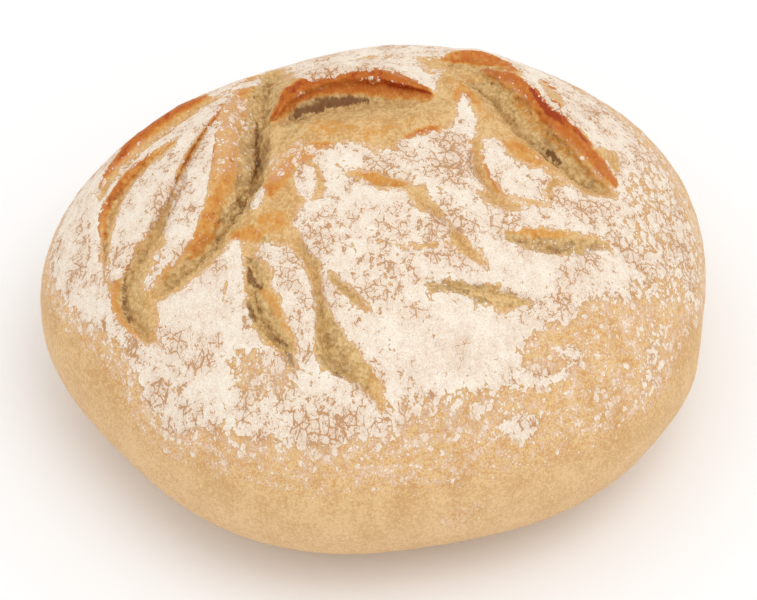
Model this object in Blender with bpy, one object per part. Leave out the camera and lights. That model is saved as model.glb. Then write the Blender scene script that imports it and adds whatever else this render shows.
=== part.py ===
"""
A round hearth loaf, dusted with flour and slashed like a leaf before baking.

The solid is one closed body.  It starts as an icosphere whose points are moved onto the loaf's
own form: a low dome over a flat foot, rounder at the belly, slightly uneven in plan.  The slashes
burst open in the oven, so each one is worked into the surface as a cut with two unlike sides:
a steep side that ends in a raised lip (the ear), and a long gentle side (the apron).

Frame: metres, +Z up, +X to the right of the leaf pattern, -Y towards its front.
The origin is the middle of the foot's plane, under the middle of the loaf.
Sizes below are in millimetres and are turned into metres by MM.
"""
import bmesh
import bpy
import numpy as np
from mathutils import Vector

MM = 0.001

# Baked size of the plain form, mm
HALF_LENGTH = 120.5
HALF_WIDTH = 113.0
HEIGHT = 95.0
BELLY_HEIGHT = 36.0

# How full the dome and the underside are: 2 is an ellipse, more is squarer
DOME_FULLNESS = 2.1
UNDER_FULLNESS = 2.3
FOOT_SINK = 7.5

# The crown sits this far off the middle of the foot, mm along X and Y
CROWN_LEAN = (5.0, 1.6)

# Uneven outline: waves round the loaf, reach in mm, bearing of a crest in degrees
OUTLINE_WAVES = [
    (2, 2.0, 45.0),
    (3, 2.5, 47.0),
    (4, 1.1, 67.5),
    (5, 1.0, 32.5),
    (6, 1.0, 15.0),
]

# Soft swells and dents of the crust: bearing and angle from the top in degrees, height in mm
# (a dent is negative) and how far it spreads in degrees
SWELLS = [
    (338, 94, 2.2, 10),
    (296, 99, 1.8, 16),
    (234, 96, 1.6, 15),
    (159, 58, -2.2, 14),
    (93, 57, 2.0, 17),
    (8, 69, -1.2, 10),
]

# The slashes.  Each path is in mm on the plan, seen from above, and runs so that the ear is on
# its left.  depth is how far the bottom lies under the crust, lip how far the ear stands over it,
# ear and apron are the widths of the two sides at the start, middle and end of the path, and
# lean is how far the lip hangs over the cut.
SLASHES = {
    "left canyon": dict(
        path=[(-80, -43), (-72, -37), (-64, -29), (-57, -18), (-51, -5), (-48, 10), (-48, 26), (-47, 45),
              (-45, 62), (-41, 76)],
        depth=(4, 11, 4), lip=(1, 2, 1), ear=(5, 9, 9), apron=(6, 12, 10), lean=0),
    "crown": dict(
        path=[(-41, 28), (-36, 36), (-27, 43), (-16, 46), (-5, 46), (6, 44), (17, 42)],
        depth=(5, 8, 3), lip=(4, 8, 3), ear=(4, 10, 4), apron=(20, 32, 20), lean=3),
    "right canyon": dict(
        path=[(27, 68), (33, 59), (39, 49), (44, 39), (50, 27), (56, 20), (62, 13), (70, 5), (79, 1)],
        depth=(4, 9, 4), lip=(2, 7, 3), ear=(9, 14, 5), apron=(13, 11, 6), lean=2),
    "back": dict(
        path=[(17, 70), (27, 70), (38, 69), (48, 61)],
        depth=(3, 5, 3), lip=(2, 3, 0), ear=(6, 11, 6), apron=(6, 8, 6), lean=1),
    "outer left": dict(
        path=[(-104, 8), (-101, 18), (-96, 26), (-90, 33), (-83, 40), (-76, 47), (-68, 53), (-61, 56)],
        depth=(1, 3, 2), lip=(1, 4, 2), ear=(4, 7, 5), apron=(3, 4, 3), lean=0),
    "left bow": dict(
        path=[(-97, -31), (-99, -18), (-99, -5), (-96, 7), (-91, 18), (-84, 26), (-75, 31)],
        depth=(1, 3, 2), lip=(0, 1, 1), ear=(2, 4, 4), apron=(2, 5, 4), lean=0),
    "long left": dict(
        path=[(-80, -58), (-87, -49), (-91, -41), (-91, -33), (-86, -24), (-80, -13), (-76, -3), (-73, 11),
              (-69, 25), (-62, 41)],
        depth=(3, 4, 2), lip=(1, 2, 1), ear=(2, 3, 3), apron=(12, 9, 3), lean=0),
    "centre lens": dict(
        path=[(13, -9), (5, -8), (-3, -8), (-11, -6), (-18, 0)],
        depth=(1, 3, 1), lip=(0, 1, 0), ear=(2, 2, 2), apron=(4, 8, 4), lean=0),
    "right curl": dict(
        path=[(30, 17), (28, 7), (31, -1), (36, -9), (42, -14)],
        depth=(2, 3, 1), lip=(0, 1, 0), ear=(2, 3, 2), apron=(3, 4, 3), lean=0),
    "right thumb": dict(
        path=[(55, -12), (47, -14), (38, -14), (29, -9)],
        depth=(1, 2, 1), lip=(0, 0, 0), ear=(2, 3, 2), apron=(3, 5, 3), lean=0),
    "right lens": dict(
        path=[(79, -22), (67, -28), (55, -31), (44, -30), (33, -27)],
        depth=(1, 4, 1), lip=(0, 1, 0), ear=(2, 4, 2), apron=(4, 9, 4), lean=0),
    "centre stroke": dict(
        path=[(5, -8), (11, -16), (16, -22), (22, -30), (30, -41)],
        depth=(1, 2, 1), lip=(0, 1, 0), ear=(2, 2, 2), apron=(3, 4, 2), lean=0),
    "front right": dict(
        path=[(56, -54), (45, -52), (33, -51), (20, -50), (8, -50)],
        depth=(1, 2, 1), lip=(0, 0, 0), ear=(2, 3, 2), apron=(2, 3, 2), lean=0),
    "front left": dict(
        path=[(-31, -80), (-37, -70), (-43, -60), (-46, -50), (-46, -41), (-49, -32)],
        depth=(2, 4, 2), lip=(0, 1, 1), ear=(2, 3, 3), apron=(4, 8, 6), lean=0),
    "front middle": dict(
        path=[(-3, -92), (-12, -84), (-19, -77), (-23, -67), (-24, -55), (-27, -41), (-33, -28)],
        depth=(2, 4, 2), lip=(0, 1, 0), ear=(2, 2, 2), apron=(6, 9, 4), lean=0),
    "front sliver": dict(
        path=[(-5, -64), (-13, -55), (-22, -45)],
        depth=(1, 2, 1), lip=(0, 0, 0), ear=(2, 2, 2), apron=(2, 3, 2), lean=0),
}

# Each slash closes over this length at its two tips, mm, where its sides narrow to this share.
# Past the ear's crest the raised crust sinks back over the width of the shoulder, mm.
TIP_LENGTH = 12.0
TIP_WIDTH = 0.35
SHOULDER = 11.0

# Bends of the section's curves: how bluntly a slash closes at its tips, how early the steep side
# and the gentle side climb from the bottom.  Below 1 is earlier.
TIP_BEND = 0.8
EAR_BEND = 0.8
APRON_BEND = 0.75

# Step along a slash's curve, mm
PATH_STEP = 2.0

# Mesh fineness, mm: the edges at a slash's bottom and ear, those far from any slash, and how much
# longer they may be for each mm further out.  The bottom and the ear's crest each run as one clean
# line of edges, and points nearer to it than SNAP_REACH are moved onto it.  An ear narrower than
# CRESTED_EAR gets no line of its own.
FINE_EDGE = 4.2
COARSE_EDGE = 16.0
EDGE_GROWTH = 0.7
FINE_APRON = 3.0
SNAP_REACH = 1.2
CRESTED_EAR = 3.5
ICOSPHERE_LEVEL = 4
REFINE_ROUNDS = 4

# Edges between faces that meet at more than this angle, in degrees, are shaded sharp
SHARP_ANGLE = 35.0

CRUST_COLOR = (0.62, 0.42, 0.23, 1.0)
CRUST_ROUGHNESS = 0.85


def outline(bearing):
    """Distance in mm from the middle to the belly's edge, at a bearing in radians."""
    reach = 1 / np.sqrt((np.cos(bearing) / HALF_LENGTH) ** 2 + (np.sin(bearing) / HALF_WIDTH) ** 2)
    for count, height, crest in OUTLINE_WAVES:
        reach = reach + height * np.cos(count * (bearing - np.radians(crest)))
    return reach


def direction(tilt, bearing):
    """Unit vector at an angle from the top and a bearing."""
    flat = np.sin(tilt)
    return np.stack([flat * np.cos(bearing), flat * np.sin(bearing), np.cos(tilt)], axis=-1)


def plain_form(tilt, bearing):
    """Point of the unslashed loaf for an angle from the top and a bearing, both in radians."""
    over = tilt <= np.pi / 2
    fullness = np.where(over, DOME_FULLNESS, UNDER_FULLNESS)
    across = np.abs(np.sin(tilt)) ** (2 / fullness)
    rise = np.abs(np.cos(tilt)) ** (2 / fullness)
    dome = BELLY_HEIGHT + (HEIGHT - BELLY_HEIGHT) * rise
    under = np.maximum(BELLY_HEIGHT - (BELLY_HEIGHT + FOOT_SINK) * rise, 0)
    z = np.where(over, dome, under)
    reach = outline(bearing) * across
    x = reach * np.cos(bearing) + CROWN_LEAN[0] * z / HEIGHT
    y = reach * np.sin(bearing) + CROWN_LEAN[1] * z / HEIGHT
    points = np.stack([x, y, z], axis=-1)
    swell = np.zeros(len(points))
    off_foot = z > 0
    for around, down, height, width in SWELLS:
        middle = direction(np.radians(down), np.radians(around))
        away = np.degrees(np.arccos(np.clip(direction(tilt, bearing) @ middle, -1, 1)))
        swell += height * np.exp(-(away / width) ** 2)
    return points + (swell * off_foot)[:, None] * crust_normals(points)


def from_directions(directions):
    """Plain loaf points for unit vectors from the middle of the icosphere."""
    tilt = np.arccos(np.clip(directions[:, 2], -1, 1))
    bearing = np.arctan2(directions[:, 1], directions[:, 0])
    return plain_form(tilt, bearing)


def from_plan(points):
    """Plain loaf points on the dome over places given on the plan in mm."""
    points = np.asarray(points, dtype=float)
    bearing = np.arctan2(points[:, 1], points[:, 0])
    across = np.clip(np.hypot(points[:, 0], points[:, 1]) / outline(bearing), 0, 1)
    return plain_form(np.arcsin(across ** (DOME_FULLNESS / 2)), bearing)


def crust_normals(points):
    """Outward directions of the plain loaf at points on it."""
    x = points[:, 0] - CROWN_LEAN[0] * points[:, 2] / HEIGHT
    y = points[:, 1] - CROWN_LEAN[1] * points[:, 2] / HEIGHT
    far = np.hypot(x, y) + 1e-9
    reach = outline(np.arctan2(y, x))
    over = points[:, 2] >= BELLY_HEIGHT
    fullness = np.where(over, DOME_FULLNESS, UNDER_FULLNESS)
    half = np.where(over, HEIGHT - BELLY_HEIGHT, -BELLY_HEIGHT - FOOT_SINK)
    outward = np.clip(far / reach, 0, 1) ** (fullness - 1) / reach
    upward = np.clip((points[:, 2] - BELLY_HEIGHT) / half, 0, 1) ** (fullness - 1) / half
    normals = np.stack([outward * x / far, outward * y / far, upward], axis=-1)
    return normals / np.linalg.norm(normals, axis=1, keepdims=True)


def smooth_path(corners):
    """Catmull-Rom curve through the corners of a slash, with a point every PATH_STEP or so."""
    corners = np.asarray(corners, dtype=float)
    ends = [2 * corners[0] - corners[1], *corners, 2 * corners[-1] - corners[-2]]
    points = []
    for a, b, c, d in zip(ends, ends[1:], ends[2:], ends[3:]):
        steps = max(2, int(np.ceil(np.linalg.norm(c - b) / PATH_STEP)))
        for t in np.arange(steps) / steps:
            points.append(0.5 * (2 * b + (c - a) * t + (2 * a - 5 * b + 4 * c - d) * t ** 2
                                 + (3 * b - a - 3 * c + d) * t ** 3))
    return np.array([*points, corners[-1]])


def spread(values, along):
    """Value at a fraction along a slash, from those at its start, middle and end."""
    return np.interp(along, np.linspace(0, 1, len(values)), values)


class Slash:
    """One burst slash, laid along its curve on the plain loaf."""

    def __init__(self, path, depth, lip, ear, apron, lean):
        self.line = from_plan(smooth_path(path))
        steps = np.linalg.norm(np.diff(self.line, axis=0), axis=1)
        self.at = np.concatenate([[0], np.cumsum(steps)])
        self.length = self.at[-1]
        self.depth = depth
        self.lip = lip
        self.ear = ear
        self.apron = apron
        self.lean = lean

    def nearest(self, points):
        """Distance across the slash (ear side positive), place along it, and the ear's direction."""
        starts = self.line[:-1]
        runs = self.line[1:] - starts
        best = np.full(len(points), np.inf)
        place = np.zeros(len(points))
        foot = np.zeros((len(points), 3))
        course = np.zeros((len(points), 3))
        for start, run, at in zip(starts, runs, self.at):
            size = np.linalg.norm(run)
            share = np.clip((points - start) @ run / size ** 2, 0, 1)
            feet = start + share[:, None] * run
            distance = np.linalg.norm(points - feet, axis=1)
            closer = distance < best
            best[closer] = distance[closer]
            place[closer] = (at + share * size)[closer]
            foot[closer] = feet[closer]
            course[closer] = run / size
        left = np.cross(crust_normals(points), course)
        left /= np.linalg.norm(left, axis=1, keepdims=True) + 1e-9
        side = np.where(np.sum((points - foot) * left, axis=1) >= 0, 1.0, -1.0)
        return side * best, place / self.length, left

    def closing(self, along):
        """How open the slash is near its tips: 0 at a tip, 1 away from it."""
        from_tip = np.minimum(along, 1 - along) * self.length
        return np.sin(np.pi / 2 * np.clip(from_tip / TIP_LENGTH, 0, 1)) ** TIP_BEND

    def ear_width(self, along):
        """Width of the steep side, from the bottom to the lip's crest."""
        return spread(self.ear, along) * (TIP_WIDTH + (1 - TIP_WIDTH) * self.closing(along))

    def apron_width(self, along):
        """Width of the gentle side, from the bottom to the crust."""
        return spread(self.apron, along) * (TIP_WIDTH + (1 - TIP_WIDTH) * self.closing(along))

    def section(self, across, along):
        """Height over the plain crust, and shift towards the ear, across the slash."""
        closing = self.closing(along)
        depth = spread(self.depth, along) * closing
        lip = spread(self.lip, along) * closing
        ear = self.ear_width(along)
        apron = self.apron_width(along)
        climb = np.clip(across / ear, 0, 1)
        ear_side = -depth + (depth + lip) * climb ** EAR_BEND
        beyond = np.clip(across - ear, 0, None) / SHOULDER
        ear_side = np.where(across > ear, lip * np.exp(-beyond ** 2), ear_side)
        ease = np.clip(-across / apron, 0, 1)
        apron_side = -depth * (1 - np.sin(np.pi / 2 * ease ** APRON_BEND))
        height = np.where(across >= 0, ear_side, apron_side)
        shift = -self.lean * closing * np.where(across > ear, np.exp(-beyond ** 2), climb ** 2)
        return height, np.where(across > 0, shift, 0.0)


def slash_all(points, slashes):
    """Moves plain loaf points to where the slashes leave them."""
    cut = np.zeros(len(points))
    raised = np.zeros(len(points))
    moved = np.zeros_like(points)
    for slash in slashes:
        across, along, left = slash.nearest(points)
        height, shift = slash.section(across, along)
        cut = np.minimum(cut, height)
        raised += np.clip(height, 0, None)
        moved += shift[:, None] * left
    return points + (cut + raised)[:, None] * crust_normals(points) + moved


def wanted_edge(points, slashes):
    """Longest edge in mm that the mesh may have at each point."""
    wanted = np.full(len(points), COARSE_EDGE)
    for slash in slashes:
        across, along, _ = slash.nearest(points)
        fine = np.where(across > 0, spread(slash.ear, along), FINE_APRON)
        outside = FINE_EDGE + EDGE_GROWTH * np.clip(np.abs(across) - fine, 0, None)
        wanted = np.minimum(wanted, outside)
    return wanted


def positions(bm):
    """The mesh's points as an array, in the order of their indices."""
    bm.verts.index_update()
    return np.array([vert.co for vert in bm.verts])


def run_edges_along(bm, slash, level):
    """Gives the mesh unbroken edges where the distance across a slash equals level at that place."""
    across, along, left = slash.nearest(positions(bm))
    over = across - level(along)
    beside = (along > 0) & (along < 1)
    close = beside & (np.abs(over) < SNAP_REACH)
    for vert in bm.verts:
        if close[vert.index]:
            vert.co -= Vector(left[vert.index]) * over[vert.index]
    over[close] = 0
    bm.verts.ensure_lookup_table()
    moved = [bm.verts[index] for index in np.flatnonzero(close)]
    crossings = []
    for edge in bm.edges:
        a, b = edge.verts[0], edge.verts[1]
        near = max(abs(over[a.index]), abs(over[b.index])) < COARSE_EDGE
        if near and beside[a.index] and beside[b.index] and over[a.index] * over[b.index] < 0:
            share = over[a.index] / (over[a.index] - over[b.index])
            crossings.append((edge, a, share))
    made = [bmesh.utils.edge_split(edge, vert, share)[1] for edge, vert, share in crossings]
    bmesh.ops.connect_verts(bm, verts=made + moved)
    bmesh.ops.triangulate(bm, faces=[face for face in bm.faces if len(face.verts) > 3])


def lay_on_loaf(bm):
    """Moves the icosphere's points onto the plain loaf, in mm, and gives back where they were."""
    directions = np.array([vert.co.normalized() for vert in bm.verts])
    for vert, point in zip(bm.verts, from_directions(directions)):
        vert.co = point
    return directions


def refine(bm, slashes):
    """Splits the triangles that are too coarse for the slashes near them."""
    before = lay_on_loaf(bm)
    points = positions(bm)
    for vert, place in zip(bm.verts, before):
        vert.co = place
    wanted = wanted_edge(points, slashes)
    coarse = {}
    for face in bm.faces:
        corners = [vert.index for vert in face.verts]
        sides = points[corners] - points[corners[1:] + corners[:1]]
        if np.linalg.norm(sides, axis=1).mean() > wanted[corners].min():
            coarse.update(dict.fromkeys(face.edges))
    bmesh.ops.subdivide_edges(bm, edges=list(coarse), cuts=1)
    bmesh.ops.triangulate(bm, faces=[face for face in bm.faces if len(face.verts) > 3])
    for vert in bm.verts:
        vert.co.normalize()


def crust_material():
    """Plain tan crust."""
    material = bpy.data.materials.new("crust")
    material.use_nodes = True
    shader = material.node_tree.nodes["Principled BSDF"]
    shader.inputs["Base Color"].default_value = CRUST_COLOR
    shader.inputs["Roughness"].default_value = CRUST_ROUGHNESS
    shader.inputs["Metallic"].default_value = 0.0
    return material


def make_loaf():
    """The whole loaf as one closed mesh, standing on its foot."""
    slashes = [Slash(**sizes) for sizes in SLASHES.values()]
    bm = bmesh.new()
    bmesh.ops.create_icosphere(bm, subdivisions=ICOSPHERE_LEVEL, radius=1.0)
    for _ in range(REFINE_ROUNDS):
        refine(bm, slashes)
    lay_on_loaf(bm)
    for slash in slashes:
        run_edges_along(bm, slash, lambda along: np.zeros_like(along))
        if max(slash.ear) > CRESTED_EAR:
            run_edges_along(bm, slash, slash.ear_width)
    points = slash_all(positions(bm), slashes)
    middle = (points.min(axis=0) + points.max(axis=0)) / 2
    middle[2] = points[:, 2].min()
    for vert, point in zip(bm.verts, points):
        vert.co = (point - middle) * MM
    bmesh.ops.recalc_face_normals(bm, faces=bm.faces)
    mesh = bpy.data.meshes.new("loaf")
    bm.to_mesh(mesh)
    bm.free()
    mesh.shade_smooth()
    mesh.set_sharp_from_angle(angle=np.radians(SHARP_ANGLE))
    mesh.materials.append(crust_material())
    return bpy.data.objects.new("loaf", mesh)


def main():
    for leftover in list(bpy.data.objects):
        bpy.data.objects.remove(leftover)
    bread = bpy.data.collections.new("multigrain_bread")
    bpy.context.scene.collection.children.link(bread)
    loaf = make_loaf()
    bread.objects.link(loaf)
    print("loaf:", len(loaf.data.polygons), "triangles, size in mm", [round(d / MM, 1) for d in loaf.dimensions])


main()
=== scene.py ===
# %% [markdown]
# # A floured hearth loaf
# The real thing is a round country loaf that was proved in a floured basket, turned out, slashed with
# a blade like the ribs of a leaf and baked on a hot floor. The slashes burst: each has a steep torn
# side that ends in a toasted lip, the ear, and a gentle smooth side, the apron. Flour lies over the
# dome in a crackled sheet that thins out to specks on the bare tan belly.
#
# One solid of that form comes with the frame. Here it is made again much finer, from the same sizes,
# and gets its baked colours. First the frame is loaded and its box is kept, since the sizes below are
# shares of it.

# %% Load the frame
import math

import bmesh
import bpy
import numpy as np
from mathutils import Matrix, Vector, noise


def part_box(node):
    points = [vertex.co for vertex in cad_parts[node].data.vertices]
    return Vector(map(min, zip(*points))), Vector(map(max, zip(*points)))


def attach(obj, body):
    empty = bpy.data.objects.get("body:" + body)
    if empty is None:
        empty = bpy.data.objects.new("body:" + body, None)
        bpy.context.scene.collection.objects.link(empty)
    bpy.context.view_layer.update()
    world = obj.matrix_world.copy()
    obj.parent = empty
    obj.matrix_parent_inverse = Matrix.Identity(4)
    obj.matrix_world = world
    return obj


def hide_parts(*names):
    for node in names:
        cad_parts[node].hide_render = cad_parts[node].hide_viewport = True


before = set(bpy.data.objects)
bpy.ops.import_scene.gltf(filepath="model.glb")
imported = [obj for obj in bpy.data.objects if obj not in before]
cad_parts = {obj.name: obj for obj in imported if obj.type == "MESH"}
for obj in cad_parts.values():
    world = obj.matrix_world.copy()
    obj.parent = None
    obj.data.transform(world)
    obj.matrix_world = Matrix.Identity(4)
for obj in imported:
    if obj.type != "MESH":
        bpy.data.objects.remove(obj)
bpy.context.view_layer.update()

MM = 0.001
low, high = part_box("loaf")
box_size = (high - low) / MM
print("solid, mm:", [round(side, 1) for side in box_size])

# %% [markdown]
# ## The loaf's plain form
# Before any slash, the loaf is a low dome over a flat foot. A sphere would be too regular and a
# sculpted lump could not be changed later, so the form is a function: a direction from the middle
# goes in and a point of the crust comes out. Squared-off ellipses give the dome and the underside,
# a few waves make the outline uneven, and soft swells add the humps of a loaf shaped by hand.
# Its sizes are shares of the solid's box, so the fine loaf follows the solid.

# %% Sizes of the plain form
HALF_LENGTH = 0.499 * box_size.x
HALF_WIDTH = 0.4961 * box_size.y
HEIGHT = 0.993 * box_size.z
BELLY_HEIGHT = 0.379 * HEIGHT
FOOT_SINK = 0.079 * HEIGHT
DOME_FULLNESS = 2.1
UNDER_FULLNESS = 2.3
CROWN_LEAN = (5.0, 1.6)
# Waves round the outline: how many, height in mm, bearing of a crest in degrees
OUTLINE_WAVES = [(2, 2.0, 45.0), (3, 2.5, 47.0), (4, 1.1, 67.5), (5, 1.0, 32.5), (6, 1.0, 15.0)]
# Swells: bearing, angle from the top, height in mm, spread in degrees
SWELLS = [
    (338, 94, 2.2, 10), (296, 99, 1.8, 16), (234, 96, 1.6, 15),
    (159, 58, -2.2, 14), (93, 57, 2.0, 17), (8, 69, -1.2, 10),
]


def outline(bearing):
    """Distance in mm from the middle to the belly's edge."""
    reach = 1 / np.sqrt((np.cos(bearing) / HALF_LENGTH) ** 2 + (np.sin(bearing) / HALF_WIDTH) ** 2)
    for count, height, crest in OUTLINE_WAVES:
        reach = reach + height * np.cos(count * (bearing - np.radians(crest)))
    return reach


def direction(tilt, bearing):
    """Unit vector at an angle from the top and a bearing."""
    flat = np.sin(tilt)
    return np.stack([flat * np.cos(bearing), flat * np.sin(bearing), np.cos(tilt)], axis=-1)


def crust_normals(points):
    """Outward directions of the plain loaf at points on it."""
    x = points[:, 0] - CROWN_LEAN[0] * points[:, 2] / HEIGHT
    y = points[:, 1] - CROWN_LEAN[1] * points[:, 2] / HEIGHT
    far = np.hypot(x, y) + 1e-9
    reach = outline(np.arctan2(y, x))
    over = points[:, 2] >= BELLY_HEIGHT
    fullness = np.where(over, DOME_FULLNESS, UNDER_FULLNESS)
    half = np.where(over, HEIGHT - BELLY_HEIGHT, -BELLY_HEIGHT - FOOT_SINK)
    outward = np.clip(far / reach, 0, 1) ** (fullness - 1) / reach
    upward = np.clip((points[:, 2] - BELLY_HEIGHT) / half, 0, 1) ** (fullness - 1) / half
    normals = np.stack([outward * x / far, outward * y / far, upward], axis=-1)
    return normals / np.linalg.norm(normals, axis=1, keepdims=True)


def plain_form(tilt, bearing):
    """Point of the unslashed loaf, in mm, for an angle from the top and a bearing in radians."""
    over = tilt <= np.pi / 2
    fullness = np.where(over, DOME_FULLNESS, UNDER_FULLNESS)
    across = np.abs(np.sin(tilt)) ** (2 / fullness)
    rise = np.abs(np.cos(tilt)) ** (2 / fullness)
    dome = BELLY_HEIGHT + (HEIGHT - BELLY_HEIGHT) * rise
    under = np.maximum(BELLY_HEIGHT - (BELLY_HEIGHT + FOOT_SINK) * rise, 0)
    z = np.where(over, dome, under)
    reach = outline(bearing) * across
    x = reach * np.cos(bearing) + CROWN_LEAN[0] * z / HEIGHT
    y = reach * np.sin(bearing) + CROWN_LEAN[1] * z / HEIGHT
    points = np.stack([x, y, z], axis=-1)
    swell = np.zeros(len(points))
    off_foot = z > 0
    for around, down, height, width in SWELLS:
        middle = direction(np.radians(down), np.radians(around))
        away = np.degrees(np.arccos(np.clip(direction(tilt, bearing) @ middle, -1, 1)))
        swell += height * np.exp(-(away / width) ** 2)
    return points + (swell * off_foot)[:, None] * crust_normals(points)


def from_directions(directions):
    """Plain loaf points for unit vectors."""
    tilt = np.arccos(np.clip(directions[:, 2], -1, 1))
    return plain_form(tilt, np.arctan2(directions[:, 1], directions[:, 0]))


def from_plan(points):
    """Plain loaf points on the dome over places given on the plan in mm."""
    points = np.asarray(points, dtype=float)
    bearing = np.arctan2(points[:, 1], points[:, 0])
    across = np.clip(np.hypot(points[:, 0], points[:, 1]) / outline(bearing), 0, 1)
    return plain_form(np.arcsin(across ** (DOME_FULLNESS / 2)), bearing)


print("plain form:", round(HALF_LENGTH, 1), "x", round(HALF_WIDTH, 1), "half, height", round(HEIGHT, 1))

# %% [markdown]
# ## The slashes
# A baker's blade goes in at a slant. In the oven the crust on one side of the cut lifts into an ear
# and the other side slides out from under it. A boolean cut would leave two equal walls, so each
# slash is instead a path on the crust with its own cross-section: every point of the mesh asks how
# far across and along the slash it lies, and is moved to the height that the section has there.
# A path runs so that the ear is on its left. The three numbers of each size are its values at the
# start, middle and end. toast is how brown the ear has baked, crumb how much torn crumb shows.

# %% The slashes' paths and sizes, mm
SLASHES = {
    "left canyon": dict(
        path=[(-80, -43), (-72, -37), (-64, -29), (-57, -18), (-51, -5), (-48, 10), (-48, 26), (-47, 45),
              (-45, 62), (-41, 76)],
        depth=(4, 11, 4), lip=(1, 2, 1), ear=(5, 9, 9), apron=(6, 12, 10), lean=0,
        undercut=0.0, toast=0.55, crumb=0.9),
    "crown": dict(
        path=[(-41, 28), (-36, 36), (-27, 43), (-16, 46), (-5, 46), (6, 44), (17, 42)],
        depth=(5, 8, 3), lip=(4, 8, 3), ear=(4, 10, 4), apron=(20, 32, 20), lean=3,
        undercut=1.0, toast=1.0, crumb=0.35),
    "right canyon": dict(
        path=[(27, 68), (33, 59), (39, 49), (44, 39), (50, 27), (56, 20), (62, 13), (70, 5), (79, 1)],
        depth=(4, 9, 4), lip=(2, 7, 3), ear=(9, 14, 5), apron=(13, 11, 6), lean=2,
        undercut=0.5, toast=0.9, crumb=0.7),
    "back": dict(
        path=[(17, 70), (27, 70), (38, 69), (48, 61)],
        depth=(3, 5, 3), lip=(2, 3, 0), ear=(6, 11, 6), apron=(6, 8, 6), lean=1,
        undercut=0.3, toast=0.8, crumb=0.6),
    "outer left": dict(
        path=[(-104, 8), (-101, 18), (-96, 26), (-90, 33), (-83, 40), (-76, 47), (-68, 53), (-61, 56)],
        depth=(1, 3, 2), lip=(1, 4, 2), ear=(4, 7, 5), apron=(3, 4, 3), lean=0,
        undercut=0.0, toast=0.85, crumb=0.2),
    "left bow": dict(
        path=[(-97, -31), (-99, -18), (-99, -5), (-96, 7), (-91, 18), (-84, 26), (-75, 31)],
        depth=(1, 3, 2), lip=(0, 1, 1), ear=(2, 4, 4), apron=(2, 5, 4), lean=0,
        undercut=0.0, toast=0.75, crumb=0.2),
    "long left": dict(
        path=[(-80, -58), (-87, -49), (-91, -41), (-91, -33), (-86, -24), (-80, -13), (-76, -3),
              (-73, 11), (-69, 25), (-62, 41)],
        depth=(3, 4, 2), lip=(1, 2, 1), ear=(2, 3, 3), apron=(12, 9, 3), lean=0,
        undercut=0.0, toast=0.5, crumb=0.5),
    "centre lens": dict(
        path=[(13, -9), (5, -8), (-3, -8), (-11, -6), (-18, 0)],
        depth=(1, 3, 1), lip=(0, 1, 0), ear=(2, 2, 2), apron=(4, 8, 4), lean=0,
        undercut=0.0, toast=0.3, crumb=0.1),
    "right curl": dict(
        path=[(30, 17), (28, 7), (31, -1), (36, -9), (42, -14)],
        depth=(2, 3, 1), lip=(0, 1, 0), ear=(2, 3, 2), apron=(3, 4, 3), lean=0,
        undercut=0.0, toast=0.6, crumb=0.1),
    "right thumb": dict(
        path=[(55, -12), (47, -14), (38, -14), (29, -9)],
        depth=(1, 2, 1), lip=(0, 0, 0), ear=(2, 3, 2), apron=(3, 5, 3), lean=0,
        undercut=0.0, toast=0.2, crumb=0.0),
    "right lens": dict(
        path=[(79, -22), (67, -28), (55, -31), (44, -30), (33, -27)],
        depth=(1, 4, 1), lip=(0, 1, 0), ear=(2, 4, 2), apron=(4, 9, 4), lean=0,
        undercut=0.0, toast=0.2, crumb=0.8),
    "centre stroke": dict(
        path=[(5, -8), (11, -16), (16, -22), (22, -30), (30, -41)],
        depth=(1, 2, 1), lip=(0, 1, 0), ear=(2, 2, 2), apron=(3, 4, 2), lean=0,
        undercut=0.0, toast=0.3, crumb=0.1),
    "front right": dict(
        path=[(56, -54), (45, -52), (33, -51), (20, -50), (8, -50)],
        depth=(1, 2, 1), lip=(0, 0, 0), ear=(2, 3, 2), apron=(2, 3, 2), lean=0,
        undercut=0.0, toast=0.2, crumb=0.7),
    "front left": dict(
        path=[(-31, -80), (-37, -70), (-43, -60), (-46, -50), (-46, -41), (-49, -32)],
        depth=(2, 4, 2), lip=(0, 1, 1), ear=(2, 3, 3), apron=(4, 8, 6), lean=0,
        undercut=0.2, toast=0.3, crumb=0.6),
    "front middle": dict(
        path=[(-3, -92), (-12, -84), (-19, -77), (-23, -67), (-24, -55), (-27, -41), (-33, -28)],
        depth=(2, 4, 2), lip=(0, 1, 0), ear=(2, 2, 2), apron=(6, 9, 4), lean=0,
        undercut=0.2, toast=0.3, crumb=0.4),
    "front sliver": dict(
        path=[(-5, -64), (-13, -55), (-22, -45)],
        depth=(1, 2, 1), lip=(0, 0, 0), ear=(2, 2, 2), apron=(2, 3, 2), lean=0,
        undercut=0.0, toast=0.2, crumb=0.1),
}
TIP_LENGTH = 12.0
TIP_WIDTH = 0.35
SHOULDER = 11.0
TIP_BEND = 0.8
EAR_BEND = 0.8
APRON_BEND = 0.75
PATH_STEP = 2.0
# The hollow under an ear and the swell over it: share of the ear's width, place and spread on the way up
UNDERCUT_SHARE = 0.28
UNDERCUT_PLACE = 0.36
UNDERCUT_SPREAD = 0.16
SWELL_SHARE = 0.12
SWELL_PLACE = 0.68
SWELL_SPREAD = 0.12
print(len(SLASHES), "slashes")


# %% [markdown]
# ## One slash as an object
# The path is smoothed with a Catmull-Rom curve, because it passes through its own points, and laid on
# the crust. `nearest` gives the place of any point relative to the slash, and `section` gives the
# height and the sideways shift there, with which the lip hangs over the cut.

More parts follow.
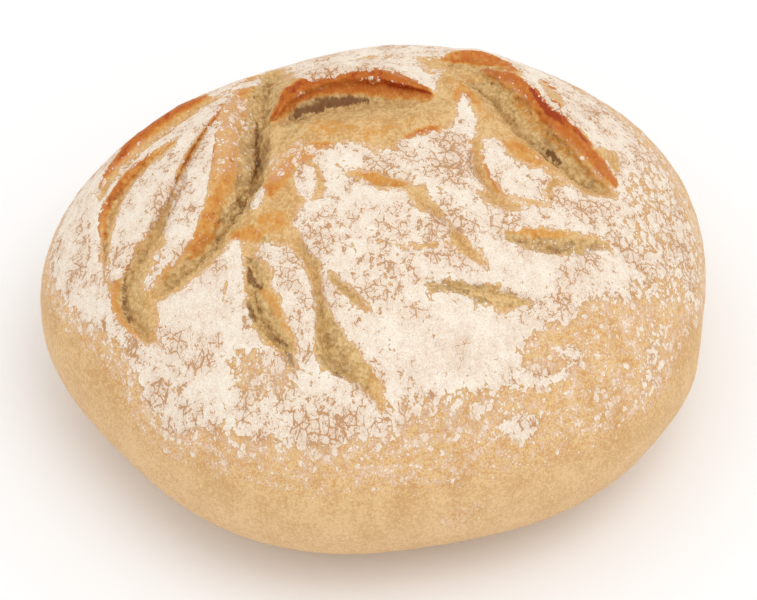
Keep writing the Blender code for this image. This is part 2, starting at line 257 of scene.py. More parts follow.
# %% The slash
def smooth_path(corners):
    """Catmull-Rom curve through the corners of a slash."""
    corners = np.asarray(corners, dtype=float)
    ends = [2 * corners[0] - corners[1], *corners, 2 * corners[-1] - corners[-2]]
    points = []
    for a, b, c, d in zip(ends, ends[1:], ends[2:], ends[3:]):
        steps = max(2, int(np.ceil(np.linalg.norm(c - b) / PATH_STEP)))
        for t in np.arange(steps) / steps:
            points.append(0.5 * (2 * b + (c - a) * t + (2 * a - 5 * b + 4 * c - d) * t ** 2
                                 + (3 * b - a - 3 * c + d) * t ** 3))
    return np.array([*points, corners[-1]])


def spread(values, along):
    """Value at a fraction along a slash, from those at its start, middle and end."""
    return np.interp(along, np.linspace(0, 1, len(values)), values)


def bump(x, middle, width):
    """Smooth bump of height 1."""
    return np.exp(-((x - middle) / width) ** 2)


class Slash:
    """One burst slash, laid along its curve on the plain loaf."""

    def __init__(self, path, depth, lip, ear, apron, lean, undercut, toast, crumb):
        self.line = from_plan(smooth_path(path))
        steps = np.linalg.norm(np.diff(self.line, axis=0), axis=1)
        self.at = np.concatenate([[0], np.cumsum(steps)])
        self.length = self.at[-1]
        self.depth = depth
        self.lip = lip
        self.ear = ear
        self.apron = apron
        self.lean = lean
        self.undercut = undercut
        self.toast = toast
        self.crumb = crumb

    def nearest(self, points):
        """Distance across the slash (ear side positive), place along it, and the ear's direction."""
        starts = self.line[:-1]
        runs = self.line[1:] - starts
        best = np.full(len(points), np.inf)
        place = np.zeros(len(points))
        foot = np.zeros((len(points), 3))
        course = np.zeros((len(points), 3))
        for start, run, at in zip(starts, runs, self.at):
            size = np.linalg.norm(run)
            share = np.clip((points - start) @ run / size ** 2, 0, 1)
            feet = start + share[:, None] * run
            distance = np.linalg.norm(points - feet, axis=1)
            closer = distance < best
            best[closer] = distance[closer]
            place[closer] = (at + share * size)[closer]
            foot[closer] = feet[closer]
            course[closer] = run / size
        left = np.cross(crust_normals(points), course)
        left /= np.linalg.norm(left, axis=1, keepdims=True) + 1e-9
        side = np.where(np.sum((points - foot) * left, axis=1) >= 0, 1.0, -1.0)
        return side * best, place / self.length, left

    def close_to(self, points, reach):
        """Which points lie within reach of the slash's box."""
        inside = (points > self.line.min(axis=0) - reach) & (points < self.line.max(axis=0) + reach)
        return inside.all(axis=1)

    def closing(self, along):
        """How open the slash is: 0 at a tip, 1 away from it."""
        from_tip = np.minimum(along, 1 - along) * self.length
        return np.sin(np.pi / 2 * np.clip(from_tip / TIP_LENGTH, 0, 1)) ** TIP_BEND

    def ear_width(self, along):
        """Width of the steep side."""
        return spread(self.ear, along) * (TIP_WIDTH + (1 - TIP_WIDTH) * self.closing(along))

    def apron_width(self, along):
        """Width of the gentle side."""
        return spread(self.apron, along) * (TIP_WIDTH + (1 - TIP_WIDTH) * self.closing(along))

    def section(self, across, along):
        """Height over the plain crust, and shift towards the ear, across the slash."""
        closing = self.closing(along)
        depth = spread(self.depth, along) * closing
        lip = spread(self.lip, along) * closing
        ear = self.ear_width(along)
        apron = self.apron_width(along)
        climb = np.clip(across / ear, 0, 1)
        ear_side = -depth + (depth + lip) * climb ** EAR_BEND
        beyond = np.clip(across - ear, 0, None) / SHOULDER
        ear_side = np.where(across > ear, lip * np.exp(-beyond ** 2), ear_side)
        ease = np.clip(-across / apron, 0, 1)
        apron_side = -depth * (1 - np.sin(np.pi / 2 * ease ** APRON_BEND))
        height = np.where(across >= 0, ear_side, apron_side)
        shift = -self.lean * closing * np.where(across > ear, np.exp(-beyond ** 2), climb ** 2)
        hollow = UNDERCUT_SHARE * bump(climb, UNDERCUT_PLACE, UNDERCUT_SPREAD)
        swell = SWELL_SHARE * bump(climb, SWELL_PLACE, SWELL_SPREAD)
        undercut = self.undercut * closing * ear * (hollow - swell)
        return height, np.where(across > 0, shift + undercut * (climb < 1), 0.0)


slashes = {name: Slash(**sizes) for name, sizes in SLASHES.items()}
print("lengths, mm:", {name: round(slash.length) for name, slash in slashes.items()})

# %% [markdown]
# ## A mesh that is fine where the loaf is
# An icosphere has even triangles and no poles. A subdivision all over would spend most of its
# triangles on the bare underside, so only the triangles that are too coarse for their place are
# split, in a few rounds: finest at the bottoms and ears of the slashes, coarser down the belly.

# %% Build the mesh
ICOSPHERE_LEVEL = 5
REFINE_ROUNDS = 5
FINE_EDGE = 0.95
DOME_EDGE = 1.9
BELLY_EDGE = 4.4
FOOT_EDGE = 10.0
EDGE_GROWTH = 0.16
NEARBY = 30.0
# Heights over the foot in mm, and the longest edge at each
EDGE_HEIGHTS = [0, 4, 30, 45]
EDGES = [FOOT_EDGE, BELLY_EDGE, BELLY_EDGE, DOME_EDGE]
EAR_MARGIN = 1.5
FINE_APRON = 0.6


def wanted_edge(points):
    """Longest edge in mm that the mesh may have at each point."""
    wanted = np.interp(points[:, 2], EDGE_HEIGHTS, EDGES)
    for slash in slashes.values():
        near = slash.close_to(points, NEARBY)
        across, along, _ = slash.nearest(points[near])
        ear_side = slash.ear_width(along) + EAR_MARGIN
        fine = np.where(across > 0, ear_side, slash.apron_width(along) * FINE_APRON)
        grown = FINE_EDGE + EDGE_GROWTH * np.clip(np.abs(across) - fine, 0, None)
        wanted[near] = np.minimum(wanted[near], grown)
    return wanted


def directions_of(bm):
    """Unit vectors of the icosphere's points."""
    bm.verts.index_update()
    return np.array([vert.co.normalized() for vert in bm.verts])


def refine(bm):
    """Splits the triangles that are too coarse for their place."""
    points = from_directions(directions_of(bm))
    wanted = wanted_edge(points)
    corners = np.array([[vert.index for vert in face.verts] for face in bm.faces])
    sides = points[corners] - points[np.roll(corners, 1, axis=1)]
    too_coarse = np.linalg.norm(sides, axis=2).mean(axis=1) > wanted[corners].min(axis=1)
    coarse = {}
    for face, split in zip(bm.faces, too_coarse):
        if split:
            coarse.update(dict.fromkeys(face.edges))
    bmesh.ops.subdivide_edges(bm, edges=list(coarse), cuts=1)
    bmesh.ops.triangulate(bm, faces=[face for face in bm.faces if len(face.verts) > 3])
    for vert in bm.verts:
        vert.co.normalize()


ball = bmesh.new()
bmesh.ops.create_icosphere(ball, subdivisions=ICOSPHERE_LEVEL, radius=1.0)
for _ in range(REFINE_ROUNDS):
    refine(ball)
print("loaf mesh:", len(ball.faces), "triangles")

# %% [markdown]
# ## Noise for a hand-made surface
# Nothing on a loaf is smooth or straight. Cloudy noise makes edges ragged and crust uneven, and the
# distance to scattered points makes the pits of torn crumb. Both are given a size in mm and a seed, so
# that every run gives the same loaf.

# %% Noises
def rough(points, size, octaves, seed):
    """Fractal noise of about -1 to 1 with features of a size in mm."""
    away = Vector((seed * 17.1, seed * 31.7, seed * 7.3))
    return np.array([noise.fractal(Vector(p) / size + away, 1.0, 2.0, octaves) for p in points])


def cells(points, size, seed):
    """Distance to the nearest of scattered points, in units of the size in mm."""
    away = Vector((seed * 11.3, seed * 5.7, seed * 23.9))
    return np.array([noise.voronoi(Vector(p) / size + away)[0][0] for p in points])


def ramp(x, start, end):
    """Smooth step from 0 at start to 1 at end."""
    t = np.clip((x - start) / (end - start), 0, 1)
    return t * t * (3 - 2 * t)


# %% [markdown]
# ## Asking the slashes
# First every point goes onto the plain form. Then each slash says how far to move it: cuts that meet
# take the deeper of the two and raised lips add up. Real slashes are ragged, so before a slash is
# asked, the point's distance from it is jittered with noise. The same places also say where the crust
# is bare, browned or torn, which the colours need later.

# %% Ask the slashes
WOBBLE = 0.9
WOBBLE_SIZE = 5.0
# Narrow slashes waver less: the width in mm from which the whole wobble counts, and the least share
WOBBLE_WIDTH = 4
WOBBLE_LEAST = 0.25
WOBBLE_FROM = 10
REACH = NEARBY + 15
UNTOUCHED = -20.0
# Bare crust and browning go on a little past the ear's edge, in mm
BARE_PAST_EAR = 0.6
BROWN_PAST_EAR = (0.2, 2.6)
# Browning sets in and torn crumb ends between these shares of the way up, and on the apron's way out
BROWN_CLIMB = (0.25, 0.85)
TORN_CLIMB = (0.45, 0.85)
TORN_APRON = (0.25, 0.75)
# A light browning along the apron's far edge: how strong, where on the way out, and how wide
APRON_BROWN = 0.3
APRON_BROWN_PLACE = 0.95
APRON_BROWN_SPREAD = 0.2

aim_at = directions_of(ball)
plain = from_directions(aim_at)
normals = crust_normals(plain)
on_foot = plain[:, 2] <= 0
dome = ~on_foot & (plain[:, 2] > WOBBLE_FROM)
wobble = np.zeros(len(plain))
wobble[dome] = WOBBLE * rough(plain[dome], WOBBLE_SIZE, 3, 1)

cut = np.zeros(len(plain))
raised = np.zeros(len(plain))
moved = np.zeros_like(plain)
exposed = np.full(len(plain), UNTOUCHED)
toast = np.zeros(len(plain))
crumb = np.zeros(len(plain))
for slash in slashes.values():
    near = np.flatnonzero(slash.close_to(plain, REACH))
    across, along, left = slash.nearest(plain[near])
    narrow = np.minimum(slash.ear_width(along), slash.apron_width(along))
    across = across + wobble[near] * np.clip(narrow / WOBBLE_WIDTH, WOBBLE_LEAST, 1)
    height, shift = slash.section(across, along)
    cut[near] = np.minimum(cut[near], height)
    raised[near] += np.clip(height, 0, None)
    moved[near] += shift[:, None] * left
    ear = slash.ear_width(along)
    apron = slash.apron_width(along)
    inside = np.where(across > 0, ear + BARE_PAST_EAR - across, apron + across)
    exposed[near] = np.maximum(exposed[near], inside)
    climb = across / ear
    open_here = slash.closing(along)
    past_ear = ramp(across, ear + BROWN_PAST_EAR[0], ear + BROWN_PAST_EAR[1])
    brown = ramp(climb, *BROWN_CLIMB) * (1 - past_ear)
    apron_brown = APRON_BROWN * bump(-across / apron, APRON_BROWN_PLACE, APRON_BROWN_SPREAD)
    browned = slash.toast * open_here * np.where(across > 0, brown, apron_brown)
    toast[near] = np.maximum(toast[near], browned)
    torn_apron = 1 - ramp(-across / apron, *TORN_APRON)
    torn = np.where(across > 0, 1 - ramp(climb, *TORN_CLIMB), torn_apron)
    crumb[near] = np.maximum(crumb[near], slash.crumb * open_here * torn * (inside > 0))
print("points in a slash:", int((exposed > 0).sum()), "of", len(plain))

# %% [markdown]
# ## Moving and roughening the points
# The points move along the crust's own directions. Their new normals then carry the relief: soft bumps
# of the crust all over the dome, and pits, tears and shreds where crumb is torn. Last, the loaf is
# centred over the middle of its foot, as the solid is.

# %% Move the points
CRUST_BUMPS = 0.22
CRUST_BUMP_SIZE = 7.0
PIT_DEPTH = 1.1
PIT_SIZE = 2.6
TEAR_DEPTH = 0.6
TEAR_SIZE = 2.3
SHRED_DEPTH = 1.5
SHRED_SIZE = 5.5
TORN_FROM = 0.03

points = plain + (cut + raised)[:, None] * normals + moved
for vert, point in zip(ball.verts, points):
    vert.co = point
bmesh.ops.recalc_face_normals(ball, faces=ball.faces)
ball.normal_update()
outward = np.array([vert.normal for vert in ball.verts])
relief = np.zeros(len(plain))
relief[dome] = CRUST_BUMPS * rough(points[dome], CRUST_BUMP_SIZE, 3, 2)
torn = np.flatnonzero(crumb > TORN_FROM)
pits = ramp(cells(points[torn], PIT_SIZE, 3), 0.5, 0.1)
tears = TEAR_DEPTH * rough(points[torn], TEAR_SIZE, 2, 4)
shreds = SHRED_DEPTH * rough(points[torn], SHRED_SIZE, 2, 6)
relief[torn] -= crumb[torn] * (PIT_DEPTH * pits + (tears + shreds))
points += relief[:, None] * outward
points[:, 2] = np.where(on_foot, 0.0, np.maximum(points[:, 2], 0.0))
middle = (points.min(axis=0) + points.max(axis=0)) / 2
middle[2] = 0.0
points -= middle
print("fine loaf, mm:", np.round(points.max(axis=0) - points.min(axis=0), 1))

# %% [markdown]
# ## Where the flour lies
# Flour clings to the dome and was rubbed off the belly. A picture of it could not be used again, so
# it is a number from 0 to 1 at every point, the share of the crust that flour covers there, which the
# shader later breaks up into crackled sheets, clumps and specks. It follows two limits round the
# loaf, given as angles from the top: inside the first the flour is whole, beyond the second there is
# none. Slashes opened after the flouring, so they are nearly bare.

# %% Flour by rule
# Bearing, angle of the whole flour, angle of the last specks, in degrees
FLOUR_LIMITS = [
    (-180, 74, 86), (-169, 71, 80), (-158, 66, 76), (-147, 63, 76), (-137, 71, 82), (-131, 75, 84),
    (-124, 67, 82), (-113, 63, 79), (-102, 61, 78), (-94, 58, 78), (-86, 55, 79), (-77, 53, 80),
    (-61, 52, 81), (-49, 48, 81), (-33, 46, 80), (-25, 52, 80), (-9, 57, 84), (8, 60, 80), (21, 55, 78),
    (35, 54, 78), (48, 56, 78), (75, 64, 82), (105, 68, 86), (130, 63, 80), (155, 70, 86),
]
# How the cover falls off: places on the way from the first limit, 0, to the second, 1, and the covers
FADE_PLACES = [-0.6, -0.15, 0.0, 0.12, 0.45, 0.9, 1.25]
FADE_COVERS = [1.0, 0.88, 0.62, 0.44, 0.28, 0.12, 0.0]
# In a slash: the cover at its bottom, and what a browned ear adds and torn crumb takes away
SLASH_FLOUR = 0.10
EAR_FLOUR = 0.22
CRUMB_FLOUR = 0.2
# Angles from the top between which the dome turns into the belly, and how crackled a plain crust is
BELLY_ANGLES = (62, 96)
PLAIN_CRACKLE = 0.45


def ease_to(values, level, share):
    """Values moved towards a level by a share of 0 to 1."""
    return values * (1 - share) + level * share


tilt = np.degrees(np.arccos(np.clip(aim_at[:, 2], -1, 1)))
bearing = np.degrees(np.arctan2(aim_at[:, 1], aim_at[:, 0]))
limits = np.array(FLOUR_LIMITS)
whole = np.interp(bearing, limits[:, 0], limits[:, 1], period=360)
last = np.interp(bearing, limits[:, 0], limits[:, 2], period=360)
past = (tilt - whole) / (last - whole)
dome_flour = np.interp(past, FADE_PLACES, FADE_COVERS)
slash_flour = np.clip(SLASH_FLOUR + EAR_FLOUR * toast - CRUMB_FLOUR * crumb, 0, 1)
flour = ease_to(dome_flour, slash_flour, ramp(exposed, -1.3, 0.9))
belly = ramp(tilt, *BELLY_ANGLES)
# The fourth number is painted shade for the hollows and creases; it is laid on further down
paint = {"flour": flour, "toast": toast, "crumb": crumb, "painted_shade": np.zeros(len(points)),
         "crackle": np.full(len(points), PLAIN_CRACKLE)}
print("mean flour cover above the belly:", round(float(flour[tilt < 80].mean()), 2))

# %% [markdown]
# ## The view that the loaf is judged from
# The paint below and the camera at the end share one view: from the front, 45 degrees down, through
# a long lens. A projection written out gives the pixel at which each point is seen, and which points
# face that way and aren't hidden behind an ear.

# %% The view
VIEW_WIDTH = 757
VIEW_HEIGHT = 600
VIEW_TARGET = (0.7, 0.5, 40.0)
VIEW_TARGET_PIXEL = (376.0, 282.7)
VIEW_DISTANCE = 950.0
VIEW_ELEVATION = math.radians(45)
PIXELS_PER_MM = 2.762
# A point counts as hidden when something nearer lies in its cell of the view, by this many mm
HIDING_CELL = 6
HIDING_DEPTH = 5.0
GRAZING_SLACK = 2.0
GRAZING = 0.15
TOWARDS = 0.1
FULLY_TOWARDS = 0.2

view_up = np.array([0, math.sin(VIEW_ELEVATION), math.cos(VIEW_ELEVATION)])
view_forward = np.array([0, math.cos(VIEW_ELEVATION), -math.sin(VIEW_ELEVATION)])
for vert, point in zip(ball.verts, points):
    vert.co = point
bmesh.ops.recalc_face_normals(ball, faces=ball.faces)
ball.normal_update()
facing = -np.array([vert.normal for vert in ball.verts]) @ view_forward

offset = points - np.array(VIEW_TARGET)
depth = VIEW_DISTANCE + offset @ view_forward
enlarged = PIXELS_PER_MM * VIEW_DISTANCE / depth
seen_x = VIEW_TARGET_PIXEL[0] + enlarged * offset[:, 0]
seen_y = VIEW_TARGET_PIXEL[1] - enlarged * (offset @ view_up)
cell = (seen_x // HIDING_CELL).astype(int) * 1000 + (seen_y // HIDING_CELL).astype(int)
front = {}
for key, far, toward in zip(cell, depth, facing):
    if toward > TOWARDS:
        front[key] = min(front.get(key, far), far)
first_seen = np.array([front.get(key, 0.0) for key in cell])
slack = HIDING_DEPTH + GRAZING_SLACK / np.clip(facing, GRAZING, 1)
seen = ramp(facing, 0.0, FULLY_TOWARDS) * (depth < first_seen + slack)
print("points seen from the front:", int((seen > 0.5).sum()), "of", len(points))

# %% [markdown]
# ## Laying flour, brown, crumb and painted shade
# Where the flour cracked and how a slash browned follows no rule, so it is laid out in outlines,
# strokes and dots on the view from the front and above, in pixels of a picture 757 wide, and painted
# shade for the hollows and creases is laid out the same way. Each one sets one number towards a level.
# Only crust seen from there takes the paint; the far side keeps what the rules above gave it. After
# that the numbers belong to the loaf, so it can be turned and lit at will.

# %% What is laid where
# Inside this outline the areas and strokes alone say where the crust is bare
TRACED = [(303, 205), (330, 165), (470, 145), (480, 150), (500, 198), (545, 208), (640, 222),
          (705, 300), (640, 480), (110, 480), (150, 352), (168, 300), (232, 256), (300, 256)]
# What is set, to what level, how soft the edge is in pixels, and the outline
AREAS = [
    # Crust without flour round the crown, right to left
    ("flour", 0.05, 5.0, [(255, 150), (262, 118), (290, 100), (440, 96), (455, 116), (449, 127),
                          (426, 134), (412, 137), (399, 143), (397, 151), (380, 149), (376, 154),
                          (362, 144), (346, 143), (323, 148), (313, 154), (300, 158), (280, 165)]),
    ("flour", 0.08, 5.0, [(255, 150), (300, 152), (316, 156), (323, 172), (326, 190), (318, 199),
                          (306, 204), (296, 213), (294, 224), (301, 237), (310, 250), (320, 262),
                          (324, 280), (318, 300), (312, 285), (300, 258), (286, 247), (272, 244),
                          (258, 247), (244, 243), (230, 238), (240, 215), (250, 195), (258, 175)]),
    ("flour", 0.33, 6.6, [(268, 160), (300, 141), (320, 149), (312, 160), (296, 163), (288, 175),
                          (270, 182)]),
    ("flour", 1.10, 2.6, [(296, 168), (304, 164), (313, 168), (316, 180), (313, 193), (307, 200),
                          (300, 194), (296, 182)]),
    ("flour", 0.95, 2.6, [(262, 188), (265, 192), (261, 203), (254, 209), (250, 205), (254, 196)]),
    ("flour", 0.05, 5.0, [(430, 100), (446, 62), (470, 75), (500, 100), (520, 130), (540, 158),
                          (560, 180), (585, 196), (603, 197), (588, 192), (576, 188), (567, 185),
                          (556, 190), (549, 200), (542, 194), (543, 186), (549, 177), (539, 168),
                          (525, 165), (514, 162), (507, 153), (500, 144), (491, 139), (484, 143),
                          (481, 150), (478, 160), (474, 152), (475, 139), (475, 124), (473, 110),
                          (468, 98), (464, 90), (460, 96), (457, 110), (453, 121), (449, 129),
                          (440, 134), (432, 122)]),
    # Bare crust along the left canyon and above it
    ("flour", 0.42, 6.0, [(216, 106), (226, 96), (248, 98), (252, 112), (254, 140), (240, 150),
                          (212, 148), (213, 130)]),
    ("flour", 0.25, 6.0, [(211, 144), (240, 146), (254, 138), (253, 170), (235, 190), (205, 192)]),
    ("flour", 0.10, 6.0, [(208, 176), (248, 172), (250, 190), (240, 215), (225, 235), (205, 262),
                          (185, 284), (168, 294), (176, 275), (186, 255), (190, 238), (195, 225),
                          (199, 206), (206, 189)]),
    ("flour", 0.05, 4.4, [(225, 91), (250, 79), (290, 68), (309, 80), (290, 98), (262, 120), (254, 116),
                          (248, 98)]),
    ("flour", 0.70, 3.3, [(200, 97), (230, 86), (262, 77), (262, 83), (240, 91), (222, 95)]),
    # Flour on the far slope behind the crown, and the bare gap beside it
    ("flour", 1.05, 3.3, [(284, 72), (330, 56), (400, 48), (440, 52), (446, 57), (425, 60), (400, 56),
                          (396, 60), (425, 70), (424, 72), (400, 69), (378, 67), (350, 73), (320, 80),
                          (308, 79)]),
    ("flour", 0.05, 5.0, [(414, 56), (446, 58), (446, 68), (430, 73), (420, 66)]),
    ("flour", 0.15, 2.2, [(356, 59), (372, 55), (394, 54), (392, 57), (370, 60)]),
    # Hollows in the middle and on the right
    ("flour", 0.08, 5.0, [(470, 140), (484, 142), (483, 155), (487, 170), (495, 183), (501, 196),
                          (493, 196), (482, 186), (475, 175), (470, 160)]),
    ("flour", 0.08, 5.0, [(474, 188), (486, 188), (500, 194), (514, 200), (532, 205), (518, 210),
                          (500, 211), (486, 204)]),
    ("flour", 0.10, 5.0, [(541, 196), (552, 191), (557, 198), (549, 204)]),
    ("flour", 0.05, 5.0, [(344, 171), (360, 169), (380, 172), (400, 178), (412, 183), (410, 189),
                          (396, 191), (378, 188), (362, 182), (349, 177)]),
    ("flour", 0.10, 5.0, [(408, 188), (424, 184), (430, 195), (438, 208), (452, 222), (466, 236),
                          (480, 250), (491, 261), (488, 269), (472, 262), (458, 252), (446, 247),
                          (420, 250), (392, 246), (377, 240), (400, 244), (425, 243), (446, 240),
                          (450, 230), (440, 218), (425, 212), (412, 204), (407, 194)]),
    ("flour", 0.05, 5.0, [(497, 230), (518, 227), (542, 226), (556, 229), (577, 232), (598, 235),
                          (611, 243), (613, 253), (604, 247), (592, 248), (581, 254), (563, 257),
                          (544, 254), (525, 247), (506, 240)]),
    ("flour", 0.10, 5.0, [(414, 281), (430, 283), (453, 279), (465, 281), (476, 285), (492, 282),
                          (503, 289), (516, 295), (540, 303), (526, 307), (514, 312), (500, 314),
                          (490, 307), (478, 305), (465, 296), (448, 291), (428, 289)]),
    # The fan of slashes at the front
    ("flour", 0.05, 5.0, [(244, 253), (252, 254), (266, 261), (272, 272), (273, 286), (280, 296),
                          (286, 316), (296, 336), (298, 352), (296, 370), (288, 362), (277, 352),
                          (263, 344), (252, 326), (245, 306), (243, 286)]),
    ("flour", 0.05, 5.0, [(312, 266), (318, 276), (322, 290), (328, 305), (338, 322), (348, 337),
                          (360, 352), (374, 368), (384, 384), (387, 400), (383, 416), (374, 404),
                          (360, 388), (340, 378), (322, 370), (314, 352), (314, 330), (315, 310),
                          (313, 290)]),
    ("flour", 0.08, 5.0, [(322, 268), (334, 273), (345, 281), (357, 291), (368, 303), (374, 313),
                          (366, 312), (352, 303), (338, 293), (328, 283)]),
    # Left: the slashes' bare crust, and scraps of flour left on it
    ("flour", 0.08, 5.0, [(144, 233), (152, 236), (160, 232), (166, 220), (172, 212), (178, 196),
                          (184, 170), (190, 158), (186, 178), (180, 200), (172, 226), (166, 240),
                          (156, 252), (152, 268), (146, 285), (152, 298), (150, 312), (155, 330),
                          (163, 347), (148, 342), (130, 326), (118, 312), (113, 296), (119, 280),
                          (126, 267), (134, 250)]),
    ("flour", 0.62, 5.5, [(152, 256), (163, 250), (170, 256), (166, 272), (156, 282), (144, 288),
                          (140, 282), (150, 274)]),
    ("flour", 0.05, 5.0, [(110, 199), (126, 178), (140, 165), (158, 151), (178, 140), (170, 152),
                          (152, 165), (136, 178), (124, 193), (118, 208), (113, 226), (112, 245),
                          (107, 262), (103, 240), (103, 218)]),
    ("flour", 1.00, 3.0, [(110, 186), (122, 168), (140, 150), (160, 136), (185, 122), (206, 107),
                          (216, 110), (200, 128), (180, 136), (158, 148), (138, 164), (122, 182),
                          (112, 195), (105, 214)]),
    ("flour", 1.00, 3.0, [(130, 192), (142, 178), (160, 163), (178, 146), (192, 134), (206, 121),
                          (212, 116), (200, 136), (184, 156), (172, 186), (161, 213), (147, 232),
                          (136, 246), (128, 262), (120, 279), (115, 282), (113, 262), (117, 232),
                          (124, 200)]),
    ("flour", 1.00, 3.0, [(215, 121), (213, 146), (209, 172), (206, 192), (201, 210), (196, 226),
                          (188, 242), (181, 254), (172, 266), (167, 262), (167, 240), (164, 230),
                          (169, 212), (174, 200), (179, 184), (185, 164), (194, 147), (206, 130)]),
    ("flour", 0.98, 6.0, [(60, 232), (80, 200), (103, 172), (98, 195), (98, 230), (100, 262), (104, 290),
                          (100, 310), (80, 298), (60, 282), (54, 262)]),
    # Thin flour: the right side, and the worn patches low down
    ("flour", 0.60, 14, [(622, 165), (650, 160), (690, 215), (704, 262), (702, 320), (680, 300),
                         (650, 300), (628, 270), (618, 215)]),
    ("flour", 0.24, 14, [(524, 345), (545, 326), (575, 322), (592, 300), (615, 308), (634, 325),
                         (640, 350), (652, 372), (640, 409), (600, 432), (560, 425), (538, 404),
                         (524, 372)]),
    ("flour", 0.75, 8.8, [(557, 350), (572, 346), (585, 352), (580, 366), (566, 370)]),
    ("flour", 0.72, 8.8, [(500, 362), (530, 372), (550, 370), (572, 374), (560, 386), (536, 390),
                          (512, 384)]),
    ("flour", 0.55, 13.2, [(640, 330), (660, 320), (672, 345), (660, 385), (645, 400), (634, 408),
                           (640, 370)]),
    ("flour", 0.46, 14, [(228, 352), (250, 348), (276, 352), (300, 366), (300, 390), (280, 402),
                         (252, 404), (232, 392)]),
    ("flour", 0.55, 6.6, [(188, 358), (202, 352), (214, 354), (206, 370), (196, 378), (186, 370)]),
    ("flour", 0.55, 4.4, [(162, 390), (178, 385), (186, 388), (180, 396), (166, 396)]),
    ("flour", 0.45, 13.2, [(388, 404), (420, 396), (470, 394), (520, 398), (545, 412), (520, 425),
                           (480, 412), (440, 420), (400, 425)]),
    ("flour", 0.85, 6.6, [(502, 422), (520, 416), (542, 420), (536, 432), (522, 442), (504, 434)]),
    ("flour", 0.16, 14.0, [(428, 515), (470, 498), (505, 503), (486, 524), (444, 535)]),
    # Brown and red bakes
    ("toast", 0.20, 14.0, [(215, 440), (260, 446), (330, 462), (350, 480), (290, 486), (230, 470)]),
    ("toast", 0.72, 2.5, [(270, 124), (275, 108), (290, 92), (312, 82), (345, 74), (378, 67), (400, 74),
                          (432, 90), (437, 97), (420, 102), (400, 99), (370, 96), (345, 94), (320, 96),
                          (300, 103), (286, 116)]),
    ("toast", 0.95, 2.5, [(345, 76), (362, 69), (380, 68), (392, 78), (374, 86), (358, 86)]),
    ("toast", 0.60, 4.0, [(284, 160), (298, 146), (320, 141), (345, 146), (322, 151), (312, 160),
                          (298, 166), (286, 185), (270, 200), (262, 190), (270, 174)]),
    ("toast", 0.72, 3.0, [(396, 142), (410, 132), (430, 126), (440, 124), (440, 132), (424, 136),
                          (410, 140)]),
    ("toast", 0.50, 3.0, [(378, 148), (392, 146), (400, 152), (396, 160), (384, 156)]),
    ("toast", 0.42, 5.0, [(255, 217), (270, 208), (292, 216), (290, 228), (272, 234), (254, 230)]),
    ("toast", 0.58, 4.0, [(226, 232), (250, 226), (264, 230), (264, 240), (246, 244), (230, 241)]),
    ("toast", 0.42, 5.0, [(216, 106), (226, 97), (242, 100), (246, 122), (238, 146), (226, 166),
                          (212, 190), (202, 222), (192, 238), (197, 212), (206, 189), (209, 172),
                          (212, 146), (213, 123)]),
    ("toast", 0.55, 2.5, [(196, 226), (210, 214), (222, 222), (214, 240), (200, 256), (188, 262)]),
    ("toast", 0.72, 2.0, [(440, 59), (455, 52), (470, 49), (486, 51), (500, 58), (520, 70), (506, 73),
                          (486, 68), (470, 64), (455, 64)]),
    ("toast", 0.38, 6.0, [(510, 84), (530, 108), (548, 124), (566, 140), (584, 156), (600, 174),
                          (610, 190), (590, 178), (570, 162), (550, 146), (530, 128), (512, 106)]),
    ("toast", 0.80, 3.0, [(514, 72), (524, 78), (536, 92), (545, 106), (556, 114), (572, 122),
                          (582, 134), (594, 148), (606, 162), (616, 178), (622, 196), (612, 186),
                          (600, 172), (588, 158), (574, 146), (560, 134), (548, 126), (538, 116),
                          (528, 104), (518, 90)]),
    ("toast", 0.55, 3.0, [(450, 95), (460, 82), (472, 90), (482, 100), (480, 112), (470, 99),
                          (456, 106)]),
    ("toast", 0.50, 4.0, [(504, 142), (516, 140), (540, 155), (550, 168), (530, 164), (514, 160)]),
    ("toast", 0.45, 3.0, [(498, 230), (520, 227), (545, 227), (575, 233), (560, 238), (535, 238),
                          (512, 235)]),
    ("toast", 0.45, 3.0, [(345, 171), (365, 170), (390, 176), (410, 184), (396, 188), (370, 182),
                          (352, 176)]),
    ("toast", 0.36, 4.0, [(258, 288), (272, 288), (280, 300), (286, 318), (293, 338), (284, 330),
                          (274, 312), (262, 300)]),
    ("toast", 0.42, 5.0, [(262, 344), (274, 340), (282, 352), (276, 358), (264, 352)]),
    ("toast", 0.34, 5.0, [(300, 126), (322, 118), (345, 122), (366, 128), (388, 134), (372, 142),
                          (345, 136), (318, 136)]),
    # Torn crumb
    ("crumb", 0.50, 6.0, [(276, 132), (300, 118), (330, 110), (372, 107), (410, 106), (440, 104),
                          (430, 114), (400, 118), (372, 116), (345, 120), (320, 124), (300, 138),
                          (280, 150)]),
    ("crumb", 0.95, 3.0, [(252, 84), (272, 74), (292, 82), (276, 106), (268, 130), (266, 152),
                          (266, 178), (258, 198), (248, 216), (236, 232), (222, 248), (206, 264),
                          (190, 276), (166, 290), (172, 276), (192, 256), (204, 238), (214, 222),
                          (222, 204), (236, 184), (246, 160), (250, 130), (247, 104)]),
    ("crumb", 0.85, 2.0, [(280, 124), (292, 106), (320, 98), (345, 96), (372, 98), (400, 102),
                          (400, 106), (370, 106), (340, 108), (312, 116), (292, 130)]),
    ("crumb", 0.40, 5.0, [(400, 100), (440, 98), (470, 92), (470, 110), (450, 116), (420, 112)]),
    ("crumb", 0.75, 3.0, [(446, 62), (470, 66), (500, 71), (512, 76), (508, 80), (490, 76), (466, 71),
                          (448, 67)]),
    ("crumb", 0.20, 3.0, [(446, 68), (480, 76), (500, 82), (490, 90), (470, 84), (450, 76)]),
    ("crumb", 0.80, 4.0, [(478, 82), (498, 84), (512, 92), (526, 108), (540, 122), (556, 138),
                          (572, 154), (590, 172), (606, 192), (594, 194), (574, 180), (556, 166),
                          (545, 158), (530, 142), (515, 127), (498, 112), (484, 98)]),
    ("crumb", 0.95, 1.5, [(500, 236), (520, 237), (545, 238), (575, 240), (600, 239), (592, 248),
